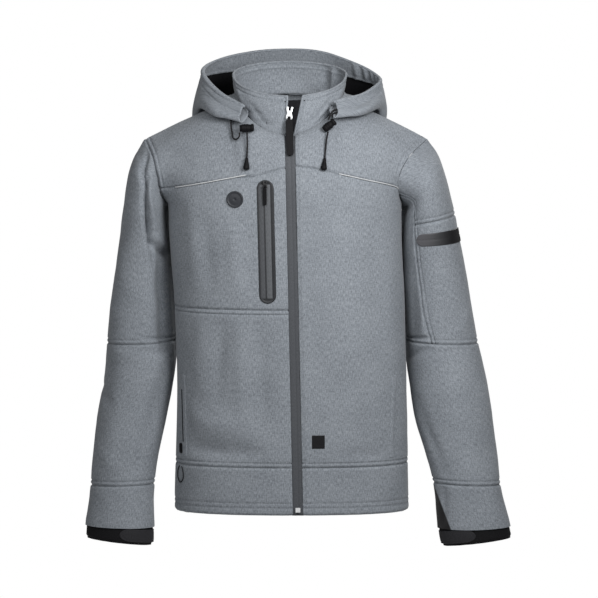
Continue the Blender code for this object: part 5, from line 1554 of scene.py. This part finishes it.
def chest_pocket():
    """Welded chest pocket: black border and lip, with the grey tapes of its zip between them; the right tape
    is drawn darker as painted shade.
    """
    x, z, inside, sideways = stadium(POCKET_TOP, POCKET_BOTTOM, POCKET_HALF_WIDTH)
    point, out = on_front(x, z)
    well = np.clip((inside - POCKET_BORDER) / POCKET_EDGE, 0, 1)
    well = well * np.clip((POCKET_LIP_START + POCKET_EDGE - sideways) / POCKET_EDGE, 0, 1)
    height = POCKET_RIM * rise_in(inside, POCKET_EDGE) - POCKET_WELL * well
    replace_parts(relief_piece("chest_pocket_film", point, out, height, "welded zip"),
                "chest_pocket_zip")
    along = np.array(POCKET_BOTTOM) - np.array(POCKET_TOP)
    length = np.linalg.norm(along)
    along = along / length
    steps = np.linspace(POCKET_TAPE_ENDS, length - POCKET_TAPE_ENDS, round(length / FINE))[:, None]
    crown = POCKET_TAPE_HEIGHT + POCKET_TAPE_CROWN * np.sin(np.linspace(0, math.pi, POCKET_TAPE_COUNT))
    for name, start, end, finish in POCKET_TAPES:
        over = np.linspace(end, start, POCKET_TAPE_COUNT)[None, :]
        x = POCKET_TOP[0] + steps * along[0] - over * along[1]
        z = POCKET_TOP[1] + steps * along[1] + over * along[0]
        point, out = on_front(x, z)
        relief_piece(name, point, out, np.broadcast_to(crown, x.shape), finish)


def control_button():
    """Round soft button with a raised ring."""
    radius = (BUTTON_RADIUS - LIFT) * BUTTON_PROFILE["share"][:, None]
    angle = np.linspace(2 * math.pi, 0, BUTTON_COUNT)[None, :]
    point, out = on_front(BUTTON_PLACE[0] + radius * np.cos(angle), BUTTON_PLACE[1] + radius * np.sin(angle))
    height = np.broadcast_to(BUTTON_PROFILE["height"][:, None], point.shape[:2])
    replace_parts(relief_piece("control_button_cap", point, out, height, "button", closed=True),
                "control_button")


def label():
    """Bare woven label."""
    share = np.linspace(1, -1, LABEL_COUNT)
    half = (LABEL_TOP[1] - LABEL_BOTTOM[1]) / 2
    x, z = np.broadcast_arrays(LABEL_TOP[0] + LABEL_HALF_WIDTH * share[None, :],
                               LABEL_BOTTOM[1] + half + half * share[:, None])
    point, out = on_front(x, z)
    inside = LABEL_HALF_WIDTH * (1 - np.maximum(np.abs(share)[None, :], np.abs(share)[:, None]))
    height = LABEL_HEIGHT * (LABEL_RIM + (1 - LABEL_RIM) * rise_in(inside, LABEL_EDGE))
    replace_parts(relief_piece("label_patch_woven", point, out, height, "label"), "label_patch")


def hand_pockets():
    """Cloth welts of the hand pockets with their slits, and the puller that shows on the right."""
    for word, ends in WELTS.items():
        x, z, inside, sideways = stadium(*ends, WELT_HALF_WIDTH)
        point, out = on_front(x, z)
        height = WELT_HEIGHT * rise_in(inside, WELT_EDGE)
        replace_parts(relief_piece(f"hand_pocket_welt_{word}_cloth", point, out, height, "cloth"),
                    f"hand_pocket_welt_{word}")
        shift, half, finish = WELT_LINES[word]
        start, end = np.array(ends) + (shift, 0.0)
        inward = (end - start) * WELT_LINE_INSET
        x, z, inside, sideways = stadium(start + inward, end - inward, half)
        point, out = on_front(x, z)
        relief_piece(f"hand_pocket_slit_{word}", point, out, WELT_LINE_HEIGHT * rise_in(inside, half), finish)
    start, end, half, height = PULLER
    x, z, inside, sideways = stadium(start, end, half)
    point, out = on_front(x, z)
    relief_piece("hand_pocket_puller_right", point, out, height * rise_in(inside, half), "rubber")


def yoke_piping():
    """Thin light piping in both yoke seams."""
    for side, word in ((RIGHT, "right"), (LEFT, "left")):
        across = side * np.linspace(*PIPING_ACROSS[side], PIPING_COUNT)
        heights = yoke_height(across)
        point = torso(FRONT, across, heights)
        out = torso_out(FRONT, across, heights)
        path = point + (body_folds(FRONT, point, across) + PIPING_RISE)[..., None] * out
        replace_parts(tube(f"piping_{word}_cord", path, PIPING_RADIUS, "piping"), f"piping_{word}")


def sleeve_pocket():
    """Welded zip strip of the left sleeve pocket."""
    over = np.sin(np.linspace(-1, 1, SLEEVE_ZIP_COUNT) * QUARTER)
    middle = sum(SLEEVE_ZIP_TURNS) / 2
    turns = middle + (SLEEVE_ZIP_TURNS[1] - SLEEVE_ZIP_TURNS[0]) / 2 * over
    rounding = np.clip((np.abs(over) - SLEEVE_ZIP_STRAIGHT) / (SLEEVE_ZIP_REACH - SLEEVE_ZIP_STRAIGHT), 0, 1)
    halves = SLEEVE_ZIP_HALF * np.sqrt(1 - rounding ** 2)
    share = np.sin(np.linspace(-1, 1, STRIP_COUNT) * QUARTER)[:, None]
    sections = SLEEVE_ZIP_SECTION + halves[None, :] * share
    point, out = on_sleeve(LEFT, sections, np.broadcast_to(turns, sections.shape))
    inside = halves[None, :] * (1 - np.abs(share)) * SECTION_METRES
    groove = SLEEVE_GROOVE * np.exp(-(share / SLEEVE_GROOVE_REACH) ** 2)
    height = SLEEVE_FILM * rise_in(inside, POCKET_EDGE) * (1 - groove)
    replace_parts(relief_piece("sleeve_pocket_film", point, out, height, "sleeve film"),
                "sleeve_pocket_zip_left")


def cuff_tabs():
    """Closing tabs of the cuffs, each round at its free end on the front."""
    free, held = CUFF_TAB_TURNS
    share = np.sin(np.linspace(-1, 1, STRIP_COUNT) * QUARTER)[:, None]
    for side, word in ((RIGHT, "right"), (LEFT, "left")):
        over = np.linspace(0, 1, CUFF_TAB_COUNT)[None, :] ** CUFF_TAB_CLOSER
        turns = free + (held - free) * over
        from_end = over * (held - free) * CUFF_TURN_METRES
        past = np.clip(1 - from_end / CUFF_TAB_ROUND, 0, CUFF_TAB_TIP)
        half = (END_SECTION - CUFF_SECTION) / 2 - CUFF_TAB_EDGE
        halves = half * np.sqrt(1 - past ** 2)
        sections = (CUFF_SECTION + END_SECTION) / 2 + halves * share
        point, out = on_sleeve(side, sections, np.broadcast_to(turns, sections.shape))
        inside = CUFF_TAB_ROUND * (1 - np.hypot(past, halves / half * share))
        row = np.exp(-((inside - CUFF_TAB_STITCH) / CUFF_TAB_STITCH_REACH) ** 2)
        height = CUFF_TAB_HEIGHT * rise_in(inside, CUFF_TAB_RIM) - CUFF_TAB_STITCH_DIP * row
        if side == RIGHT:
            point, out, height = point[:, ::-1], out[:, ::-1], height[:, ::-1]
        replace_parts(relief_piece(f"cuff_tab_{word}_strap", point, out, height, "tab"),
                    f"cuff_tab_{word}")


def lathe(name, centre, axis, profile, finish, body="jacket"):
    """Turned piece about an axis, from a table of distances along it and radii."""
    axis = unit(np.array(axis, float))
    side = unit(np.cross(axis, LATHE_ASIDE))
    up = np.cross(axis, side)
    angle = np.linspace(0, 2 * math.pi, LATHE_SIDES, endpoint=False)[:, None]
    ring = side * np.cos(angle) + up * np.sin(angle)
    along = profile["along"]
    points = centre + along[:, None, None] * axis + profile["radius"][:, None, None] * ring
    row, column = np.divmod(quads(len(along), LATHE_SIDES + 1), LATHE_SIDES + 1)
    faces = row * LATHE_SIDES + column % LATHE_SIDES
    data = smooth_mesh(name, points.reshape(-1, 3).tolist(), faces.tolist())
    return link(name, data, finish, body)


def lock_centre(lock):
    """Middle of a cord lock, in front of the jacket."""
    point, out = front_frame(lock["x"], lock["z"])
    return point + lock["out"] * out


def cord_hardware():
    """Barrel locks and bell-shaped ends of the hood cords."""
    for word, lock in LOCKS.items():
        piece = lathe(f"hood_lock_{word}_barrel", lock_centre(lock), lock["axis"], LOCK_PROFILE, "rubber")
        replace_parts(piece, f"hood_lock_{word}")
        route = front_route(LOWER_ROUTES[word])
        piece = lathe(f"hood_cord_end_{word}_bell", route[-1], route[-1] - route[-2], BELL_PROFILE, "rubber")
        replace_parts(piece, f"hood_cord_end_{word}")


def frame_matrix(origin, up, out):
    """Frame with its Z along the cloth and its -Y out of it."""
    up = Vector(up).normalized()
    out = (Vector(out) - Vector(out).dot(up) * up).normalized()
    right = up.cross(out)
    matrix = Matrix((right, -out, up)).transposed().to_4x4()
    matrix.translation = Vector(origin)
    return matrix


def cut_out(name, outline, depth, back, ease, place, finish, body="jacket"):
    """Flat piece cut to an outline in X and Z, from y = back outwards, with eased edges."""
    work = bmesh.new()
    face = work.faces.new([work.verts.new((x, back, z)) for x, z in outline])
    made = bmesh.ops.extrude_face_region(work, geom=[face])["geom"]
    front = [item for item in made if isinstance(item, bmesh.types.BMVert)]
    bmesh.ops.translate(work, vec=(0, -depth, 0), verts=front)
    bmesh.ops.recalc_face_normals(work, faces=work.faces)
    bmesh.ops.bevel(work, geom=list(work.edges), offset=ease, segments=EASE_STEPS, profile=0.5,
                    affect="EDGES")
    data = bpy.data.meshes.new(name)
    work.to_mesh(data)
    work.free()
    data.transform(place)
    return link(name, data, finish, body)


def mirrored(half):
    """Whole outline from its half on the +X side, listed from the top."""
    return list(half) + [(-x, z) for x, z in reversed(half)]


def slider_and_tab(prefix, sizes, seat, up, out, tab_end, finish, body):
    """Zip slider with its lugs and pin, and the tab that swings on the pin."""
    place = frame_matrix(seat, up, out)
    width = sizes["slider_width"] / 2
    length = sizes["slider_length"] / 2
    thickness = sizes["slider_thickness"]
    outline = mirrored([(x * width, z * length) for x, z in SLIDER_OUTLINE])
    piece = cut_out(f"{prefix}_slider_body", outline, thickness, 0.0, SLIDER_EASE, place, finish)
    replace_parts(piece, f"{prefix}_slider")
    pin_z = -sizes["pin_drop"]
    lug_x = sizes["eye_width"] / 2 + SEAM + LUG_WIDTH / 2
    for word, side in (("first", -1), ("second", 1)):
        edges = np.array((-1, 1)) * LUG_WIDTH / 2 + side * lug_x
        low, high = pin_z - 2 * PIN_RADIUS, pin_z + 2 * PIN_RADIUS
        lug = [(edges[0], low), (edges[1], low), (edges[1], high), (edges[0], high)]
        cut_out(f"{prefix}_lug_{word}", lug, PIN_RISE + 2 * PIN_RADIUS, -thickness + SEAM, SLIDER_EASE / 2,
                place, finish)
    pin = place @ Vector((0, -thickness - PIN_RISE, pin_z))
    right = np.array(place.to_3x3() @ Vector((1, 0, 0)))
    reach = lug_x + LUG_WIDTH / 4
    bar = columns("along radius", (
        (-reach, LATHE_LEAST),
        (-reach, PIN_RADIUS),
        (reach, PIN_RADIUS),
        (reach, LATHE_LEAST),
    ))
    lathe(f"{prefix}_pin_bar", np.array(pin), right, bar, finish)
    tab_place = frame_matrix(pin, pin - Vector(tab_end), out)
    half_eye = sizes["eye_width"] / 2
    half = sizes["tab_width"] / 2
    end = sizes["tab_length"]
    corner = TAB_CORNER * half
    outline = mirrored((
        (half_eye, -TAB_TOP),
        (half_eye, -TAB_SHOULDER),
        (half - corner, -TAB_SHOULDER - SEAM),
        (half, -TAB_SHOULDER - corner),
        (half, -end + 2 * corner),
        (half - corner, -end),
    ))
    thickness = sizes["tab_thickness"]
    piece = cut_out(f"{prefix}_tab_plate", outline, thickness, thickness / 2, TAB_EASE, tab_place, "rubber",
                    body)
    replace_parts(piece, f"{prefix}_pull_tab")
    eye = columns("along radius", (
        (-half_eye, EYE_BORE),
        (-half_eye, EYE_RADIUS),
        (half_eye, EYE_RADIUS),
        (half_eye, EYE_BORE),
        (-half_eye, EYE_BORE),
    ))
    right = np.array(tab_place.to_3x3() @ Vector((1, 0, 0)))
    lathe(f"{prefix}_tab_eye", np.array(pin), right, eye, "rubber", body)


def zip_sliders():
    """Main and chest pocket sliders with their tabs."""
    base = collar(0.0, 0.0)
    top = collar(0.0, 1.0)
    rise = (MAIN_SLIDER_Z - base[2]) / (top[2] - base[2])
    seat = collar(0.0, rise)
    up = collar(0.0, rise + SLIDER_NUDGE) - collar(0.0, rise - SLIDER_NUDGE)
    out = unit(np.cross((1, 0, 0), up))
    seat[0] = zip_x(seat[2])
    point, normal = front_frame(zip_x(MAIN_TAB_END_Z), MAIN_TAB_END_Z)
    end = point + (TAB_CLEARANCE + MAIN_ZIP["tab_thickness"] / 2) * normal
    slider_and_tab("zip", MAIN_ZIP, seat + LIFT * out, up, out, end, "metal", "main_pull_tab")
    x, z = CHEST_SLIDER_PLACE
    seat, out = front_frame(x, z)
    up = front_frame(x, z + SLIDER_NUDGE)[0] - front_frame(x, z - SLIDER_NUDGE)[0]
    on_zip = 2 * LIFT + POCKET_THICKNESS
    point, normal = front_frame(x, CHEST_TAB_END_Z)
    end = point + (on_zip + TAB_CLEARANCE + CHEST_ZIP["tab_thickness"] / 2) * normal
    slider_and_tab("chest_pocket", CHEST_ZIP, seat + on_zip * out, up, out, end, "black metal",
                   "chest_pull_tab")


def lay_cord(node, route, diameter):
    """Cord along its route."""
    steps = np.concatenate(((0.0,), np.cumsum(np.linalg.norm(np.diff(route, axis=0), axis=1))))
    count = int(steps[-1] / (CORD_STEP * diameter)) + 2
    points = smooth(np.linspace(0, steps[-1], CORD_FINER * count), steps, route)
    data = bpy.data.curves.new(f"{node}_braid", "CURVE")
    data.dimensions = "3D"
    data.bevel_depth = diameter / 2
    data.bevel_resolution = CORD_ROUNDNESS
    data.use_fill_caps = True
    spline = data.splines.new("POLY")
    spline.points.add(len(points) - 1)
    for target, point in zip(spline.points, points):
        target.co = (*point, 1.0)
    piece = link(f"{node}_braid", data, "cord")
    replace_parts(piece, node)


def front_route(table):
    """Points of a cord's route in front of the jacket."""
    point, out = front_frame(table["x"], table["z"])
    return point + table["out"][:, None] * out


def lock_exit(centre, axis, towards):
    """Point just outside a cord lock, on the way to the next point of the cord."""
    way = unit(towards - centre)
    along = abs(np.dot(way, unit(np.array(axis))))
    reach = LOCK_RADIUS + SEAM + CORD / 2 * along
    return centre + way * reach / math.sqrt(1 - along ** 2)


def drawstrings():
    """Hood cords and the hem cord."""
    lay_cord("hood_cord_upper_right", front_route(UPPER_RIGHT_ROUTE), CORD)
    for node, far_end, on_it in (("hood_cord_front_left", "fitting", ["hood_lock_left"]),
                                 ("hood_cord_side_left", "object", [])):
        strand = LEFT_STRANDS[node]
        lay_cord(node, np.stack([strand[axis] for axis in "xyz"], axis=1), CORD)
    for word, lock in LOCKS.items():
        route = front_route(LOWER_ROUTES[word])
        route = np.concatenate((lock_exit(lock_centre(lock), lock["axis"], route[0])[None, :], route))
        lay_cord(f"hood_cord_lower_{word}", route, CORD)
    lay_cord("hem_cord_right", front_route(HEM_LOOP), HEM_CORD)


def new_finish(name, colour, roughness, metallic=0.0, sheen=0.0, specular=0.5):
    """Material with its even values set on the shader, ready for its pattern."""
    made = bpy.data.materials.new(name.replace(" ", "_") + "_look")
    made.use_nodes = True
    shader = made.node_tree.nodes["Principled BSDF"]
    shader.inputs["Base Color"].default_value = (*colour, 1.0)
    shader.inputs["Roughness"].default_value = roughness
    shader.inputs["Metallic"].default_value = metallic
    shader.inputs["Sheen Weight"].default_value = sheen
    shader.inputs["Sheen Roughness"].default_value = SHEEN_ROUGHNESS
    shader.inputs["Specular IOR Level"].default_value = specular
    finishes[name] = made
    return made.node_tree, shader


def streaks(tree, source, stretch, detail=PATTERN_DETAIL):
    """Noise drawn out along one way of the cloth."""
    mapping = tree.nodes.new("ShaderNodeMapping")
    mapping.inputs["Scale"].default_value = stretch
    pattern = tree.nodes.new("ShaderNodeTexNoise")
    pattern.inputs["Scale"].default_value = 1.0
    pattern.inputs["Detail"].default_value = detail
    tree.links.new(source, mapping.inputs["Vector"])
    tree.links.new(mapping.outputs["Vector"], pattern.inputs["Vector"])
    return pattern.outputs["Fac"]


def weighted(tree, parts):
    """Sum of patterns, each with its weight."""
    total = None
    for value, weight in parts:
        step = tree.nodes.new("ShaderNodeMath")
        step.operation = "MULTIPLY_ADD"
        step.inputs[1].default_value = weight
        step.inputs[2].default_value = 0.0
        tree.links.new(value, step.inputs[0])
        if total is not None:
            tree.links.new(total, step.inputs[2])
        total = step.outputs[0]
    return total


def tint(tree, shader, value, stops):
    """Colour of a surface from a pattern, by stops."""
    ramp = tree.nodes.new("ShaderNodeValToRGB")
    elements = ramp.color_ramp.elements
    while len(elements) < len(stops):
        elements.new(0.5)
    for element, (at, colour) in zip(elements, stops):
        element.position = at
        element.color = (*colour, 1.0)
    tree.links.new(value, ramp.inputs["Fac"])
    tree.links.new(ramp.outputs["Color"], shader.inputs["Base Color"])


def relief(tree, shader, value, distance, strength):
    """Fine relief of a surface from a pattern."""
    bump = tree.nodes.new("ShaderNodeBump")
    bump.inputs["Distance"].default_value = distance
    bump.inputs["Strength"].default_value = strength
    tree.links.new(value, bump.inputs["Height"])
    tree.links.new(bump.outputs["Normal"], shader.inputs["Normal"])


def weave_source(tree):
    """Weave map of the cloth, in metres."""
    source = tree.nodes.new("ShaderNodeUVMap")
    source.uv_map = "weave"
    return source.outputs["UV"]


def object_source(tree):
    """Place in the jacket's own frame, in metres."""
    return tree.nodes.new("ShaderNodeTexCoord").outputs["Object"]


PATTERN_SOURCES = {"weave": weave_source, "place": object_source}


def melange(name):
    """Grey melange cloth: light and dark yarns both ways, a little uneven."""
    tree, shader = new_finish(name, CLOTH_MIDDLE, CLOTH_ROUGHNESS, sheen=CLOTH_SHEEN, specular=CLOTH_SPECULAR)
    sources = {follows: source(tree) for follows, source in PATTERN_SOURCES.items()}

    def yarns(rows):
        return weighted(tree, [(streaks(tree, sources[follows], stretch, detail), weight)
                               for follows, stretch, detail, weight in rows])

    tint(tree, shader, yarns(YARN_COLOURS), CLOTH_STOPS)
    relief(tree, shader, yarns(YARN_HEIGHTS), *CLOTH_RELIEF)
    return tree, shader


def cloth_to_cuff():
    """Cloth of the left lower sleeve, black below a slanting line that runs up from the cuff."""
    tree, shader = melange("cloth to cuff")
    yarns = shader.inputs["Base Color"].links[0].from_socket
    line = tree.nodes.new("ShaderNodeVectorMath")
    line.operation = "DOT_PRODUCT"
    line.inputs[1].default_value = BLACK_PATCH_LINE
    tree.links.new(object_source(tree), line.inputs[0])
    share = tree.nodes.new("ShaderNodeMapRange")
    share.inputs["From Min"].default_value = BLACK_PATCH_AT - BLACK_PATCH_SOFT
    share.inputs["From Max"].default_value = BLACK_PATCH_AT + BLACK_PATCH_SOFT
    tree.links.new(line.outputs["Value"], share.inputs["Value"])
    mix = tree.nodes.new("ShaderNodeMix")
    mix.data_type = "RGBA"
    mix.inputs["A"].default_value = BLACK_PATCH_COLOUR
    tree.links.new(share.outputs["Result"], mix.inputs["Factor"])
    tree.links.new(yarns, mix.inputs["B"])
    tree.links.new(mix.outputs["Result"], shader.inputs["Base Color"])


def two_tone(tree, shader, value, dark, light):
    """Colour of a surface between two tones of a pattern."""
    first, last = PATTERN_ENDS
    tint(tree, shader, value, ((first, dark), (last, light)))


def plain_fabric(name, dark, light, roughness, follows, stretch):
    """Fabric of one colour with visible yarn."""
    tree, shader = new_finish(name, light, roughness, sheen=FABRIC_SHEEN, specular=FABRIC_SPECULAR)
    value = streaks(tree, PATTERN_SOURCES[follows](tree), stretch)
    two_tone(tree, shader, value, dark, light)
    relief(tree, shader, value, *FABRIC_RELIEF)


def moulded(name, dark, light, roughness, grain, depth, metallic, specular):
    """Moulded or cast surface with a fine grain."""
    tree, shader = new_finish(name, light, roughness, metallic, specular=specular)
    value = streaks(tree, object_source(tree), (grain, grain, grain), GRAIN_DETAIL)
    two_tone(tree, shader, value, dark, light)
    relief(tree, shader, value, depth, GRAIN_STRENGTH)


def sleeve_film():
    """Welded film that runs from grey at its round end to black outwards."""
    tree, shader = new_finish("sleeve film", FILM_EVEN, FILM_ROUGHNESS, specular=FILM_SPECULAR)
    parts = tree.nodes.new("ShaderNodeSeparateXYZ")
    place = object_source(tree)
    tree.links.new(place, parts.inputs["Vector"])
    share = tree.nodes.new("ShaderNodeMapRange")
    share.inputs["From Min"].default_value = FILM_ENDS[0]
    share.inputs["From Max"].default_value = FILM_ENDS[1]
    tree.links.new(parts.outputs["X"], share.inputs["Value"])
    grain = streaks(tree, place, FILM_GRAIN)
    value = weighted(tree, ((share.outputs["Result"], 1 - FILM_GRAIN_WEIGHT), (grain, FILM_GRAIN_WEIGHT)))
    tint(tree, shader, value, FILM_STOPS)
    relief(tree, shader, grain, *FILM_RELIEF)


def make_finishes():
    """Every material of the jacket."""
    melange("cloth")
    cloth_to_cuff()
    sleeve_film()
    for name, look in FABRICS.items():
        plain_fabric(name, *look)
    for name, look in MOULDINGS.items():
        moulded(name, *look)


def kept_nodes():
    """Finishes of the solids that stay as they are."""
    for name, finish in KEPT_NODES.items():
        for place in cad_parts[name].material_slots:
            place.material = finishes[finish]


def look_at(thing, target):
    """Turn a lamp or camera towards a point."""
    thing.rotation_euler = (Vector(target) - thing.location).to_track_quat("-Z", "Y").to_euler()


def lamp(name, place, size, power):
    """Large soft lamp."""
    data = bpy.data.lights.new(name, "AREA")
    data.shape = "DISK"
    data.size = size
    data.energy = power
    thing = bpy.data.objects.new(name, data)
    thing.location = place
    bpy.context.scene.collection.objects.link(thing)
    look_at(thing, TARGET)


def studio():
    """Pale floor, white surroundings, soft lamps and the camera."""
    world = bpy.data.worlds.new("studio")
    world.use_nodes = True
    tree = world.node_tree
    light = tree.nodes["Background"]
    light.inputs["Color"].default_value = WHITE
    light.inputs["Strength"].default_value = WORLD_STRENGTH
    seen = tree.nodes.new("ShaderNodeBackground")
    seen.inputs["Color"].default_value = WHITE
    seen.inputs["Strength"].default_value = SEEN_WHITE
    path = tree.nodes.new("ShaderNodeLightPath")
    mix = tree.nodes.new("ShaderNodeMixShader")
    tree.links.new(path.outputs["Is Camera Ray"], mix.inputs["Fac"])
    tree.links.new(light.outputs["Background"], mix.inputs[1])
    tree.links.new(seen.outputs["Background"], mix.inputs[2])
    tree.links.new(mix.outputs["Shader"], tree.nodes["World Output"].inputs["Surface"])
    bpy.context.scene.world = world
    for name, place, size, power in LAMPS:
        lamp(name, place, size, power)
    bpy.ops.mesh.primitive_plane_add(size=FLOOR_SIZE, location=(0, 0, FLOOR_Z))
    floor = bpy.context.object
    floor.name = "floor"
    made = bpy.data.materials.new("pale_floor")
    made.use_nodes = True
    shader = made.node_tree.nodes["Principled BSDF"]
    shader.inputs["Base Color"].default_value = FLOOR_GREY
    shader.inputs["Roughness"].default_value = FLOOR_ROUGHNESS
    floor.data.materials.append(made)
    data = bpy.data.cameras.new("camera")
    data.lens = LENS
    data.sensor_width = SENSOR
    camera = bpy.data.objects.new("camera", data)
    across = CAMERA_DISTANCE * math.cos(CAMERA_RISE)
    camera.location = Vector(TARGET) + Vector((0, -across, CAMERA_DISTANCE * math.sin(CAMERA_RISE)))
    bpy.context.scene.collection.objects.link(camera)
    look_at(camera, TARGET)
    bpy.context.scene.camera = camera
    bpy.context.scene.view_settings.view_transform = "Standard"


def main():
    """Dress the jacket and light it."""
    make_finishes()
    studio()
    cord_hardware()
    drawstrings()
    body_cloth()
    sleeves_cloth()
    collar_cloth()
    hood_cloth()
    main_zip()
    zip_sliders()
    chest_pocket()
    control_button()
    label()
    hand_pockets()
    yoke_piping()
    sleeve_pocket()
    cuff_tabs()
    kept_nodes()
    stitching()


main()
